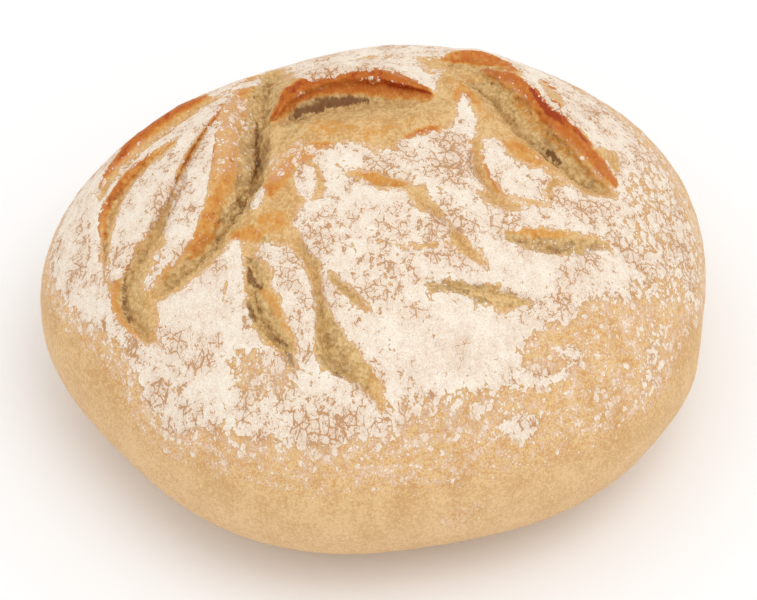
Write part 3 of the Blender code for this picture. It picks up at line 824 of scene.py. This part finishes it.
                          (578, 254), (560, 256), (542, 252), (518, 245)]),
    ("crumb", 0.95, 1.5, [(416, 282), (440, 285), (460, 286), (476, 294), (492, 300), (512, 302),
                          (538, 302), (520, 308), (492, 306), (470, 300), (450, 292), (430, 289)]),
    ("crumb", 0.95, 1.5, [(246, 256), (262, 262), (269, 276), (264, 290), (250, 289), (245, 272)]),
    ("crumb", 0.90, 2.0, [(246, 302), (258, 300), (268, 314), (282, 328), (292, 342), (296, 356),
                          (294, 368), (284, 356), (272, 346), (258, 334), (250, 318)]),
    ("crumb", 0.70, 3.0, [(314, 294), (322, 300), (334, 318), (346, 336), (358, 352), (370, 374),
                          (362, 386), (342, 380), (326, 372), (315, 358)]),
    ("crumb", 0.60, 3.0, [(324, 270), (336, 276), (350, 287), (366, 302), (372, 312), (356, 304),
                          (338, 291), (328, 282)]),
    ("crumb", 0.80, 2.0, [(250, 222), (262, 228), (274, 242), (282, 256), (276, 262), (264, 250),
                          (254, 238)]),
    ("crumb", 0.60, 2.0, [(296, 238), (306, 246), (316, 262), (312, 268), (302, 256)]),
    ("crumb", 0.50, 3.0, [(136, 258), (148, 252), (150, 268), (142, 290), (146, 306), (154, 330),
                          (140, 330), (128, 316), (128, 290)]),
    ("crumb", 0.45, 2.0, [(152, 222), (164, 206), (172, 190), (180, 176), (178, 196), (168, 224),
                          (156, 236)]),
    # Painted shade in the recess under the crown's ear, where the browning is also lowered
    ("painted_shade", 0.80, 4.5, [(284, 121), (294, 107), (308, 98), (335, 94), (366, 95), (374, 100), (352, 105),
                         (330, 107), (315, 112), (300, 116), (292, 126)]),
    ("toast", 0.15, 3.0, [(290, 118), (300, 106), (314, 100), (340, 97), (364, 98), (356, 104),
                          (330, 106), (312, 111), (298, 120)]),
    # Crackled and smooth parts of the flour
    ("crackle", 1.0, 12.0, [(300, 210), (330, 160), (400, 145), (470, 150), (480, 200), (470, 250),
                            (420, 300), (370, 300), (330, 270)]),
    ("crackle", 0.62, 12.0, [(500, 150), (560, 190), (620, 200), (640, 260), (600, 270), (540, 215),
                             (490, 200)]),
    ("crackle", 0.9, 12.0, [(170, 370), (300, 395), (370, 400), (350, 450), (250, 440), (150, 420)]),
    ("crackle", 0.1, 14.0, [(390, 320), (450, 310), (540, 318), (530, 370), (470, 390), (410, 385)]),
    ("crackle", 0.2, 10.0, [(170, 290), (230, 260), (245, 300), (225, 330), (170, 330)]),
    ("crackle", 0.2, 8.0, [(500, 240), (560, 262), (620, 270), (600, 292), (540, 290), (490, 270)]),
]
# What is set, to what level, how wide it is at its start, middle and end, and the path
STROKES = [
    ("flour", 0.26, (2, 7, 3), [(512, 240), (530, 245), (555, 248), (576, 249), (592, 243)]),
    ("flour", 0.02, (3, 7, 4), [(516, 78), (530, 94), (544, 112), (560, 122), (578, 136), (594, 154),
                                (614, 184)]),
    ("flour", 0.02, (2, 4, 2), [(276, 112), (284, 99), (300, 89), (325, 82), (352, 76), (376, 73),
                                (400, 80), (430, 91)]),
    ("flour", 0.02, (4, 5, 4), [(452, 54), (476, 56), (500, 64), (518, 74)]),
    ("flour", 0.05, (3, 6, 3), [(542, 82), (552, 92), (562, 104)]),
    ("flour", 1.10, (1.5, 2.6, 1.5), [(534, 81), (541, 91), (550, 102), (560, 110), (570, 115)]),
    ("flour", 0.05, (4, 7, 4), [(600, 151), (612, 158), (617, 170)]),
    ("flour", 0.10, (0.5, 1.4, 0.5), [(225, 266), (227, 280), (223, 300), (234, 305), (246, 306)]),
    ("flour", 0.30, (0.5, 1.2, 0.5), [(378, 264), (386, 277), (394, 290), (409, 304), (424, 322),
                                      (440, 346)]),
    ("flour", 0.10, (0.5, 1.6, 0.5), [(110, 262), (109, 285), (112, 308)]),
    ("flour", 0.12, (0.5, 1.2, 0.5), [(100, 186), (107, 172), (114, 160)]),
    ("flour", 0.05, (3, 9, 3), [(118, 159), (133, 139), (160, 119), (190, 103), (206, 96)]),
    ("flour", 0.05, (1, 7, 3), [(176, 141), (156, 154), (130, 176), (113, 199), (107, 222), (106, 250)]),
    ("flour", 0.12, (1, 3.5, 3), [(214, 118), (201, 136), (189, 156), (177, 178)]),
    ("toast", 0.98, (2, 4, 2), [(272, 120), (282, 101), (298, 88), (325, 79), (352, 72), (378, 68)]),
    ("toast", 1.15, (2, 4, 2), [(372, 76), (390, 84), (412, 89), (431, 93)]),
    ("toast", 0.88, (2, 4, 1), [(222, 101), (214, 123), (212, 146), (209, 172), (204, 192)]),
    ("toast", 0.64, (1, 5, 2), [(176, 141), (156, 154), (130, 176), (112, 198), (105, 219), (105, 240)]),
    ("toast", 0.95, (2, 6, 3), [(206, 96), (173, 110), (148, 126), (133, 140), (118, 159)]),
    ("toast", 0.85, (1, 2.5, 1), [(214, 118), (201, 136), (189, 156), (177, 178), (166, 191)]),
    ("toast", 0.60, (1, 3, 2), [(143, 233), (134, 250), (126, 268), (118, 280), (114, 296), (119, 312)]),
    ("toast", 0.85, (1, 4, 1), [(538, 77), (550, 83), (560, 93), (564, 100)]),
    ("toast", 1.08, (2, 5, 2), [(530, 88), (538, 100), (547, 111), (560, 119), (574, 128), (586, 142)]),
    ("toast", 1.35, (2, 4, 2), [(533, 91), (540, 102), (550, 113), (560, 119)]),
    ("toast", 0.70, (1, 3, 2), [(482, 150), (486, 168), (494, 184), (498, 192)]),
    # Painted shade along the bottoms of the slashes, in creases and under the ears
    ("painted_shade", 0.95, (1, 3, 1), [(257, 122), (257, 150), (257, 168), (251, 184)]),
    ("painted_shade", 0.60, (1, 5, 1), [(250, 188), (240, 200), (228, 212), (216, 226)]),
    ("painted_shade", 0.40, (1, 3, 1), [(226, 238), (212, 254), (198, 266)]),
    ("painted_shade", 1.30, (1.5, 5.5, 1.5), [(290, 121), (304, 111), (318, 108), (334, 103), (352, 100),
                                     (368, 101)]),
    ("painted_shade", 0.60, (1, 2, 1), [(395, 107), (406, 109), (414, 108)]),
    ("painted_shade", 0.45, (1, 4, 1), [(452, 65), (468, 69), (490, 71), (508, 76)]),
    ("painted_shade", 0.42, (1, 2, 1), [(492, 98), (508, 114), (522, 131), (534, 146)]),
    ("painted_shade", 1.60, (2, 5.5, 2), [(538, 149), (548, 155), (560, 163)]),
    ("painted_shade", 0.45, (1, 2.5, 1), [(562, 168), (572, 180)]),
    ("painted_shade", 0.80, (1, 2.2, 1.5), [(214, 118), (201, 136), (187, 158), (176, 182), (168, 200),
                                   (160, 216), (148, 232)]),
    ("painted_shade", 0.80, (1, 2.5, 2.5), [(134, 252), (128, 268), (124, 285), (124, 305), (130, 321)]),
    ("painted_shade", 0.55, (1, 1.8, 1), [(134, 328), (146, 340), (158, 347)]),
    ("painted_shade", 0.42, (1, 6, 3), [(172, 144), (152, 158), (128, 180), (112, 202), (107, 225), (106, 250)]),
    ("painted_shade", 0.50, (1, 2, 1), [(116, 196), (110, 214), (107, 236), (106, 262)]),
    ("painted_shade", 0.40, (1, 1.2, 1), [(160, 158), (146, 170), (132, 186)]),
    ("painted_shade", 0.50, (1, 3, 1), [(345, 176), (352, 179), (360, 183)]),
    ("painted_shade", 0.38, (1, 2, 1), [(502, 238), (520, 242), (540, 243), (560, 242)]),
    ("painted_shade", 0.32, (1, 2, 1), [(575, 246), (590, 241), (604, 240)]),
    ("painted_shade", 0.60, (1, 2.4, 1), [(416, 281), (440, 286), (452, 289), (468, 292)]),
    ("painted_shade", 0.45, (1, 2.4, 1), [(476, 296), (492, 302), (512, 302), (538, 303)]),
    ("painted_shade", 0.60, (1, 2.5, 1), [(366, 384), (372, 398), (380, 410)]),
    ("painted_shade", 0.60, (1, 3, 2), [(315, 340), (318, 354), (326, 364), (336, 371)]),
    ("painted_shade", 0.85, (1, 3, 1), [(330, 370), (336, 375), (344, 378)]),
    ("painted_shade", 0.90, (1, 3.5, 1), [(248, 257), (251, 261), (255, 264)]),
    ("painted_shade", 0.85, (1.5, 4.5, 2), [(249, 268), (250, 278), (255, 285), (261, 288)]),
    ("painted_shade", 0.85, (2, 4.5, 2), [(249, 302), (250, 312), (255, 321)]),
    ("painted_shade", 0.60, (1, 3.5, 1), [(260, 320), (268, 327), (275, 332)]),
    ("painted_shade", 0.80, (1.5, 4, 1.5), [(275, 339), (282, 342), (288, 347)]),
    ("painted_shade", 0.65, (1, 3, 1), [(283, 348), (290, 357), (294, 368)]),
    ("painted_shade", 0.50, (0.5, 1, 0.5), [(226, 268), (227, 282), (223, 300)]),
    ("painted_shade", 0.35, (0.5, 1, 0.5), [(110, 262), (109, 285), (112, 308)]),
]
# What is set, to what level, the radius, and the places
DOTS = [
    # Painted shade in deep pores and slits, then spots of browning
    ("painted_shade", 0.90, 2, [(614, 196), (619, 200), (551, 199), (254, 98), (130, 321), (349, 178)]),
    ("painted_shade", 0.60, 2, [(56, 326), (61, 327), (228, 222), (236, 206), (214, 214), (222, 236), (492, 84)]),
    ("painted_shade", 0.50, 2, [(467, 290), (477, 297), (590, 245), (565, 248), (548, 247), (505, 88),
                       (514, 92)]),
    ("painted_shade", 0.50, 2, [(284, 240), (254, 226), (258, 236), (163, 200), (162, 214), (158, 220),
                       (296, 112)]),
    ("toast", 0.90, 2, [(491, 303), (232, 160), (196, 214)]),
]
print(len(AREAS), "areas,", len(STROKES), "strokes,", sum(len(dots) for *_, dots in DOTS), "dots")


# %% Distances on the view
def outline_distance(corners):
    """Distance in pixels from an outline, positive inside it."""
    corners = np.asarray(corners, dtype=float)
    nearest = np.full(len(points), np.inf)
    inside = np.zeros(len(points), dtype=bool)
    for (ax, ay), (bx, by) in zip(corners, np.roll(corners, -1, axis=0)):
        nearest = np.minimum(nearest, edge_distance((ax, ay), (bx, by))[0])
        crosses = (ay > seen_y) != (by > seen_y)
        inside ^= crosses & (seen_x < (bx - ax) * (seen_y - ay) / (by - ay + 1e-9) + ax)
    return np.where(inside, nearest, -nearest)


def edge_distance(start, end):
    """Distance in pixels from a straight edge, and how far along it."""
    run = np.subtract(end, start)
    length = np.hypot(*run)
    share = ((seen_x - start[0]) * run[0] + (seen_y - start[1]) * run[1]) / length ** 2
    share = np.clip(share, 0, 1)
    away_x = seen_x - start[0] - share * run[0]
    away_y = seen_y - start[1] - share * run[1]
    return np.hypot(away_x, away_y), share * length


def stroke_distance(path, widths):
    """Distance in pixels from the edge of a stroke, positive inside it."""
    lengths = [math.dist(a, b) for a, b in zip(path, path[1:])]
    nearest = np.full(len(points), np.inf)
    place = np.zeros(len(points))
    for number, (start, end) in enumerate(zip(path, path[1:])):
        distance, along_edge = edge_distance(start, end)
        closer = distance < nearest
        nearest[closer] = distance[closer]
        place[closer] = sum(lengths[:number]) + along_edge[closer]
    return spread(widths, place / sum(lengths)) - nearest


# %% [markdown]
# A hand is never quite steady, and torn edges even less, so every edge wavers with a noise that is
# fixed to the loaf. An area moves a number towards its level. A weak stroke does the same, and a strong
# one only ever adds. Where flour lies thick it hides the brown below it.

# %% Lay it on
WAVER = 2.6
WAVER_SIZE = 3.5
THIN_WAVER = 0.5
TRACED_SOFT = 6
STROKE_SOFT = 1.6
DOT_SOFT = 1.5
STRONG = 0.5
TOAST_KEPT = 0.4
FLOUR_HIDES = 0.75

waver = np.zeros(len(points))
waver[tilt < 100] = WAVER * rough(plain[tilt < 100], WAVER_SIZE, 3, 5)
traced = seen * ramp(outline_distance(TRACED), -TRACED_SOFT, TRACED_SOFT)
paint["flour"] = ease_to(paint["flour"], dome_flour, traced)
paint["toast"] = ease_to(paint["toast"], TOAST_KEPT * paint["toast"], traced)
for target, level, soft, outline_corners in AREAS:
    share = seen * ramp(outline_distance(outline_corners) + waver, -soft, soft)
    paint[target] = ease_to(paint[target], level, share)
for target, level, widths, path in STROKES:
    inside = stroke_distance(path, widths) + THIN_WAVER * waver
    share = seen * ramp(inside, -STROKE_SOFT, STROKE_SOFT)
    if level > STRONG:
        paint[target] = np.maximum(paint[target], level * share)
    else:
        paint[target] = ease_to(paint[target], level, share)
for target, level, radius, dots in DOTS:
    for x, y in dots:
        inside = radius - np.hypot(seen_x - x, seen_y - y) + THIN_WAVER * waver
        share = seen * ramp(inside, -DOT_SOFT, DOT_SOFT)
        paint[target] = np.maximum(paint[target], level * share)
paint["belly"] = belly
paint["toast"] = paint["toast"] * (1 - FLOUR_HIDES * ramp(paint["flour"], 0.55, 0.9))
print("mean levels:", {name: round(float(values.mean()), 2) for name, values in paint.items()})

# %% [markdown]
# ## The mesh object
# The points and the numbers painted on them go into one mesh. Each number is a float attribute,
# which the shader reads by name and the mesh carries along.

# %% Make the loaf
for vert, point in zip(ball.verts, points * MM):
    vert.co = point
mesh = bpy.data.meshes.new("loaf_baked")
ball.to_mesh(mesh)
ball.free()
mesh.shade_smooth()
for name, values in paint.items():
    layer = mesh.attributes.new(name, "FLOAT", "POINT")
    layer.data.foreach_set("value", values.astype(np.float32))
loaf = bpy.data.objects.new("loaf_baked", mesh)
bpy.context.scene.collection.objects.link(loaf)

# %% [markdown]
# ## Shader maths that reads as maths
# A shader is a graph, and a formula in it is a chain of Math nodes that is hard to read back. `Number`
# wraps a socket so that Python's own operators add those nodes. Colours go through `mix`, because a
# Math node would turn them grey. Every other node comes from `Finish.node`.

# %% Helpers for materials
class Number:
    """A value that varies over the surface, for use in Python formulas."""

    def __init__(self, socket):
        self.socket = socket

    def _join(self, operation, first, second):
        tree = self.socket.id_data
        node = tree.nodes.new("ShaderNodeMath")
        node.operation = operation
        for slot, value in zip(node.inputs, (first, second)):
            if isinstance(value, Number):
                tree.links.new(value.socket, slot)
            else:
                slot.default_value = value
        return Number(node.outputs[0])

    def __add__(self, other):
        return self._join("ADD", self, other)

    def __radd__(self, other):
        return self._join("ADD", other, self)

    def __sub__(self, other):
        return self._join("SUBTRACT", self, other)

    def __rsub__(self, other):
        return self._join("SUBTRACT", other, self)

    def __mul__(self, other):
        return self._join("MULTIPLY", self, other)

    def __rmul__(self, other):
        return self._join("MULTIPLY", other, self)

    def size(self):
        """The value without its sign."""
        return self._join("ABSOLUTE", self, 0.0)

    def most(self, other):
        """The larger of two values."""
        return self._join("MAXIMUM", self, other)

    def least(self, other):
        """The smaller of two values."""
        return self._join("MINIMUM", self, other)


class Finish:
    """A material and the few kinds of node that the loaf's finishes need."""

    def __init__(self, name):
        self.material = bpy.data.materials.new(name)
        self.material.use_nodes = True
        self.tree = self.material.node_tree
        self.shader = self.tree.nodes["Principled BSDF"]

    def node(self, kind, settings, values, output):
        """Adds a node: its settings first, then its sockets' values or links; gives one output."""
        node = self.tree.nodes.new(kind)
        for key, value in settings.items():
            setattr(node, key, value)
        for key, value in values.items():
            self.feed(next(s for s in node.inputs if key == s.identifier and s.enabled), value)
        return Number(next(s for s in node.outputs if output in (s.identifier, s.name) and s.enabled))

    def feed(self, socket, value):
        """Puts a value or a link into a socket."""
        if isinstance(value, Number):
            self.tree.links.new(value.socket, socket)
        else:
            socket.default_value = value

    def painted(self, name):
        """A number painted on the mesh."""
        return self.node("ShaderNodeAttribute", {"attribute_name": name}, {}, "Fac")

    def place(self, stretch=(1, 1, 1), shift=(0, 0, 0)):
        """Where the surface is, in millimetres, stretched along the axes."""
        spot = self.node("ShaderNodeTexCoord", {}, {}, "Object")
        values = {"Vector": spot, "Scale": tuple(side / MM for side in stretch), "Location": shift}
        return self.node("ShaderNodeMapping", {}, values, "Vector")

    def grain(self, place, size, detail=3.0, roughness=0.6):
        """Cloudy noise from 0 to 1 with features of a size in mm."""
        values = {"Vector": place, "Scale": 1 / size, "Detail": detail, "Roughness": roughness}
        return self.node("ShaderNodeTexNoise", {"noise_dimensions": "3D"}, values, "Fac")

    def scattered(self, feature, place, size):
        """A distance in a pattern of scattered cells, in mm, for cells of a size in mm."""
        settings = {"voronoi_dimensions": "3D", "feature": feature}
        values = {"Vector": place, "Scale": 1 / size}
        return self.node("ShaderNodeTexVoronoi", settings, values, "Distance") * size

    def cracks(self, place, size):
        """Distance from the nearest crack of a crackled sheet."""
        return self.scattered("DISTANCE_TO_EDGE", place, size)

    def spots(self, place, size):
        """Distance from the middle of the nearest spot."""
        return self.scattered("F1", place, size)

    def vectors(self, operation, values):
        """A Vector Math node."""
        return self.node("ShaderNodeVectorMath", {"operation": operation}, values, "Vector")

    def shift(self, place, by, amount):
        """A place moved about by a noise, for edges that aren't smooth."""
        values = {"Vector": place, "Scale": 1 / by, "Detail": 1.0}
        about = self.node("ShaderNodeTexNoise", {"noise_dimensions": "3D"}, values, "Color")
        centred = self.vectors("SUBTRACT", {"Vector": about, "Vector_001": (0.5, 0.5, 0.5)})
        scaled = self.vectors("SCALE", {"Vector": centred, "Scale": amount})
        return self.vectors("ADD", {"Vector": place, "Vector_001": scaled})

    def step(self, value, start, end):
        """Smooth step from 0 at start to 1 at end."""
        values = {"Value": value, "From Min": start, "From Max": end}
        return self.node("ShaderNodeMapRange", {"interpolation_type": "SMOOTHSTEP"}, values, "Result")

    def mix(self, share, first, second):
        """Colour between two colours."""
        values = {"Factor_Float": share, "A_Color": first, "B_Color": second}
        return self.node("ShaderNodeMix", {"data_type": "RGBA"}, values, "Result_Color")


def linear(level):
    """Linear light for a level on a screen, from 0 to 1."""
    return level / 12.92 if level < 0.0404 else ((level + 0.055) / 1.055) ** 2.4


def tone(red, green, blue):
    """A colour given as it looks on a screen, from 0 to 255, as the shader's linear colour."""
    return (linear(red / 255), linear(green / 255), linear(blue / 255), 1.0)


# %% [markdown]
# ## The baked finish
# All of the loaf is one material, because crust, crumb and flour run into each other. It is built up
# as the loaf was: tan crust, browned ears, torn crumb and flour on top of it all, with painted shade
# in the hollows laid on before the flour. The numbers painted on the mesh say how much. Noises of four
# sizes decide where exactly: their values stay near one half, so a step between, say, 0.42 and 0.58
# turns them into clear patches.

# %% Colours
CRUST_LIGHT = tone(227, 190, 134)
CRUST_DARK = tone(194, 144, 80)
BELLY_LIGHT = tone(229, 193, 146)
BELLY_DARK = tone(207, 166, 115)
EAR_GOLD = tone(212, 149, 68)
EAR_ORANGE = tone(193, 104, 36)
EAR_RED = tone(158, 60, 15)
CRUMB_LIGHT = tone(224, 191, 135)
CRUMB_OLIVE = tone(188, 147, 89)
# Painted shade: the brown that hollows, creases and pores are darkened towards
SHADE_BROWN = tone(108, 64, 33)
# Painted shade beside lumps of flour and in the flour's cracks
SHADE_BESIDE_FLOUR = tone(168, 118, 70)
FLOUR_WHITE = tone(247, 238, 222)
FLOUR_PINK = tone(229, 208, 188)
DUSTED = tone(236, 210, 187)
FRECKLE = tone(203, 143, 86)

# %% Painted numbers and noises
CLOUD_SIZE = 11.0
CLUMP_SIZE = 3.0
GRIT_SIZE = 1.2
DUST_SIZE = 0.55
# The flour's features are a little longer from front to back than from side to side
DRAWN_OUT = (1.0, 0.75, 1.0)

baked = Finish("baked_crust")
where = baked.place(stretch=DRAWN_OUT)
flour_at = baked.painted("flour")
toast_at = baked.painted("toast")
crumb_at = baked.painted("crumb")
painted_shade_at = baked.painted("painted_shade")
belly_at = baked.painted("belly")
crackle_at = baked.painted("crackle")

clouds = baked.grain(where, CLOUD_SIZE, 3.0)
clumps = baked.grain(where, CLUMP_SIZE, 4.0, 0.65)
grit = baked.grain(where, GRIT_SIZE, 3.0, 0.65)
dust = baked.grain(where, DUST_SIZE, 2.0)

# %% Plain crust
mottle = baked.step(clouds * 0.25 + clumps * 0.20 + grit * 0.30 + dust * 0.25, 0.42, 0.58)
crust = baked.mix(mottle, CRUST_LIGHT, CRUST_DARK)
belly_mottle = baked.step(clouds * 0.20 + grit * 0.35 + dust * 0.45, 0.42, 0.60)
belly = baked.mix(belly_mottle, BELLY_LIGHT, BELLY_DARK)
color = baked.mix(belly_at, crust, belly)
flecks = baked.step(dust * 0.7 + grit * 0.3, 0.57, 0.66)
color = baked.mix(flecks * 0.35, color, DUSTED)

# %% [markdown]
# ## Crumb, browning and painted shade
# Torn crumb is pale and olive by turns. Browning goes from gold over orange to red with the heat that
# the crust took, so one number, heat, drives three mixes. The hollows and creases get painted shade,
# and so do the crumb's pores of a few millimetres: there the colour is pulled towards a shade brown.

# %% Crumb, ears and painted shade
PORE_SPACING = 2.6

torn = baked.mix(baked.step(grit * 0.6 + clumps * 0.4, 0.38, 0.62), CRUMB_LIGHT, CRUMB_OLIVE)
color = baked.mix(baked.step(crumb_at + (clumps - 0.5) * 1.0, 0.20, 0.60), color, torn)
heat = toast_at + (clumps - 0.5) * 0.9 + (grit - 0.5) * 0.6
color = baked.mix(baked.step(heat, 0.15, 0.50) * 0.85, color, EAR_GOLD)
color = baked.mix(baked.step(heat, 0.42, 0.82) * 0.9, color, EAR_ORANGE)
red = baked.step(heat, 0.82, 1.20)
color = baked.mix(red, color, EAR_RED)

holes = baked.spots(baked.shift(where, 1.5, 1.6), PORE_SPACING)
holes = holes + (clouds - 0.5) * 8.0 + (clumps - 0.5) * 3.0
pores = baked.step(holes, 0.75, 0.30) * baked.step(crumb_at, 0.3, 0.8)
# Painted shade: where the mesh is marked for it, and in the crumb's pores, the colour is pulled towards
# the shade brown
shade = baked.step(painted_shade_at + (clumps - 0.5) * 1.2 + (grit - 0.5) * 0.6, 0.25, 1.05)
shade = shade.most(pores * 0.34)
color = baked.mix(shade * 0.85, color, SHADE_BROWN)

# %% [markdown]
# ## Where the flour lies and how it cracks
# Flour is a layer with edges, not a tint. Around scattered middles it forms lumps, coarse and fine,
# that grow with the share of flour painted there until they close up to a sheet. The sheet tore when
# the loaf rose: short cracks follow the middle value of two noises, and gaps part it into plates. Each
# crack has a width that is nothing in most places, and a limit, so that no wide bare patch can open.

# %% Lumps of flour
COARSE_SPACING = 3.4
FINE_SPACING = 1.3

ragged = baked.shift(baked.shift(where, 3.5, 3.0), 0.9, 0.9)
full = flour_at + (0.19 - 0.17 * crackle_at) * baked.step(flour_at, 0.5, 0.9)
coarse = full * 0.92 - 0.02 + (clouds - 0.5) * (2.2 - 0.9 * crackle_at)
coarse = coarse * COARSE_SPACING - baked.spots(ragged, COARSE_SPACING)
fine = full * 0.68 + 0.05 + (clumps - 0.5) * 2.0
fine = fine * FINE_SPACING - baked.spots(baked.shift(where, 1.0, 0.8), FINE_SPACING)
lumps = coarse.most(fine)

# %% Cracks and pits in the flour
LINE_SIZE = 5.0
THIN_LINE_SIZE = 2.6
PLATE_SIZE = 3.3
LINE_WIDTH = 0.020
THIN_LINE_WIDTH = 0.016
GAP_WIDTH = 0.27
# Drawn out upright, so that the wall of a crack meets the crust at an angle and shows as a line
UPRIGHT = (1.0, 0.75, 0.35)
UPRIGHT_SHIFT = (3, 5, 7)

steep = baked.place(stretch=UPRIGHT, shift=UPRIGHT_SHIFT)
lines = baked.grain(steep, LINE_SIZE, 4.0, 0.6)
thin_lines = baked.grain(steep, THIN_LINE_SIZE, 3.0, 0.6)
plates = baked.cracks(baked.shift(baked.shift(steep, 3.5, 2.4), 0.9, 0.9), PLATE_SIZE)
width = (clouds * 0.5 + grit * 0.5 - 0.5) * 0.55 * crackle_at
width = width.most(0.0).least(LINE_WIDTH)
thin_width = (clumps * 0.6 + clouds * 0.4 - 0.5) * 0.48 * crackle_at
thin_width = thin_width.most(0.0).least(THIN_LINE_WIDTH)
crack = baked.step((lines - 0.5).size(), width, width * 0.6 - 0.001)
thin_crack = baked.step((thin_lines - 0.5).size(), thin_width, thin_width * 0.6 - 0.001)
gap_width = (clumps * 0.45 + clouds * 0.55 - 0.505) * 11.0 * crackle_at
gap_width = gap_width.most(0.0).least(GAP_WIDTH)
gap = baked.step(plates, gap_width, gap_width * 0.6 - 0.05)
split = gap.most(crack).most(thin_crack * 0.85)
pits = baked.step(dust * 0.6 + grit * 0.4, 0.45, 0.39) * (0.40 + 0.60 * crackle_at)
sheet = baked.step(lumps, -0.02, 0.14) * baked.step(flour_at, 0.04, 0.16)
cover = sheet * (1 - split) * (1 - 0.6 * pits)

# %% [markdown]
# ## Laying the flour on
# Right beside the lumps of flour and in its cracks the crust gets painted shade. Where flour is thin
# it is a pinkish haze with freckles of crust in it, and nothing of that reaches browned ears or torn
# crumb. Then the powder itself goes on, white and faintly pink by turns, and it is rougher than the
# crust.

# %% Painted shade by the flour, haze, freckles and powder
# Painted shade on the crust in a ring just outside each lump of flour, and in the flour's cracks
under = baked.step(lumps, -0.6, 0.1)
dusty = baked.step(flour_at, 0.3, 0.6)
color = baked.mix((under * (grit - 0.1)).most(split * 0.85) * dusty, color, SHADE_BESIDE_FLOUR)
plain_here = (1 - toast_at).most(0.0) * (1 - crumb_at * 0.8)
haze = baked.step(flour_at + (clumps - 0.5) * 2.4 + (grit - 0.5) * 2.0, 0.04, 0.6)
haze = haze * (0.75 - 0.55 * dusty) * baked.step(flour_at, 0.09, 0.2) * plain_here
color = baked.mix(haze, color, DUSTED)
freckled = baked.step(dust * 0.6 + grit * 0.6 - clumps * 0.2, 0.49, 0.57)
freckled = freckled * baked.step(flour_at, 0.08, 0.18)
color = baked.mix(freckled * plain_here * 0.55, color, FRECKLE)
powder_mottle = baked.step(clouds * 0.3 + clumps * 0.2 + dust * 0.5, 0.41, 0.57)
powder = baked.mix(powder_mottle, FLOUR_WHITE, FLOUR_PINK)
color = baked.mix(cover * 0.97, color, powder)

# %% Connect the finish
SPECULAR = 0.18

baked.feed(baked.shader.inputs["Base Color"], color)
baked.feed(baked.shader.inputs["Roughness"], 0.62 + 0.3 * cover - 0.12 * red)
baked.shader.inputs["Specular IOR Level"].default_value = SPECULAR
# Heights in mm: the sheet of flour, the grain of the crust, and the crumb with its pores
height = (0.04 + 0.07 * flour_at) * sheet + 0.16 * grit + 0.10 * dust
height = height + 0.16 * crumb_at * grit - 0.15 * pores
bump_values = {"Height": height * MM, "Strength": 1.0, "Distance": 1.0}
baked.feed(baked.shader.inputs["Normal"], baked.node("ShaderNodeBump", {}, bump_values, "Normal"))
mesh.materials.append(baked.material)

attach(loaf, "root")
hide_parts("loaf")
print("finish nodes:", len(baked.tree.nodes))

# %% [markdown]
# ## Floor, light and camera
# The photo is lit softly from all round, a little stronger from above and the right. A white world
# gives the even part, and a large panel gives the forms their shading.

# %% Floor
FLOOR_SIZE = 6.0
FLOOR_TONE = tone(250, 250, 250)


def make_floor():
    """A plain pale floor under the loaf."""
    bm = bmesh.new()
    bmesh.ops.create_grid(bm, x_segments=1, y_segments=1, size=FLOOR_SIZE / 2)
    floor_mesh = bpy.data.meshes.new("floor")
    bm.to_mesh(floor_mesh)
    bm.free()
    floor = bpy.data.objects.new("floor", floor_mesh)
    bpy.context.scene.collection.objects.link(floor)
    plain_floor = Finish("pale_floor")
    plain_floor.shader.inputs["Base Color"].default_value = FLOOR_TONE
    plain_floor.shader.inputs["Roughness"].default_value = 0.9
    floor_mesh.materials.append(plain_floor.material)
    return floor


make_floor()

# %% Light
WORLD_STRENGTH = 0.95
KEY_POWER = 4.5
KEY_SIZE = 1.0
KEY_PLACE = (0.45, -0.35, 1.5)


def look_at(thing, target):
    """Turns a camera or a light towards a point."""
    thing.rotation_euler = (Vector(target) - thing.location).to_track_quat("-Z", "Y").to_euler()


world = bpy.data.worlds.new("studio")
world.use_nodes = True
world.node_tree.nodes["Background"].inputs["Color"].default_value = (1, 1, 1, 1)
world.node_tree.nodes["Background"].inputs["Strength"].default_value = WORLD_STRENGTH
bpy.context.scene.world = world
key_light = bpy.data.lights.new("key", "AREA")
key_light.energy = KEY_POWER
key_light.size = KEY_SIZE
key = bpy.data.objects.new("key", key_light)
key.location = KEY_PLACE
look_at(key, (0, 0, 0.04))
bpy.context.scene.collection.objects.link(key)
bpy.context.scene.view_settings.view_transform = "Standard"

# %% Camera
SENSOR = 36.0

camera_data = bpy.data.cameras.new("camera")
camera_data.sensor_width = SENSOR
camera_data.lens = SENSOR * VIEW_DISTANCE / (VIEW_WIDTH / PIXELS_PER_MM)
camera_data.shift_x = (VIEW_WIDTH / 2 - VIEW_TARGET_PIXEL[0]) / VIEW_WIDTH
camera_data.shift_y = (VIEW_TARGET_PIXEL[1] - VIEW_HEIGHT / 2) / VIEW_WIDTH
camera = bpy.data.objects.new("camera", camera_data)
camera.location = Vector(VIEW_TARGET) * MM - Vector(view_forward) * VIEW_DISTANCE * MM
look_at(camera, Vector(VIEW_TARGET) * MM)
bpy.context.scene.collection.objects.link(camera)
bpy.context.scene.camera = camera
print("lens, mm:", round(camera_data.lens, 1))
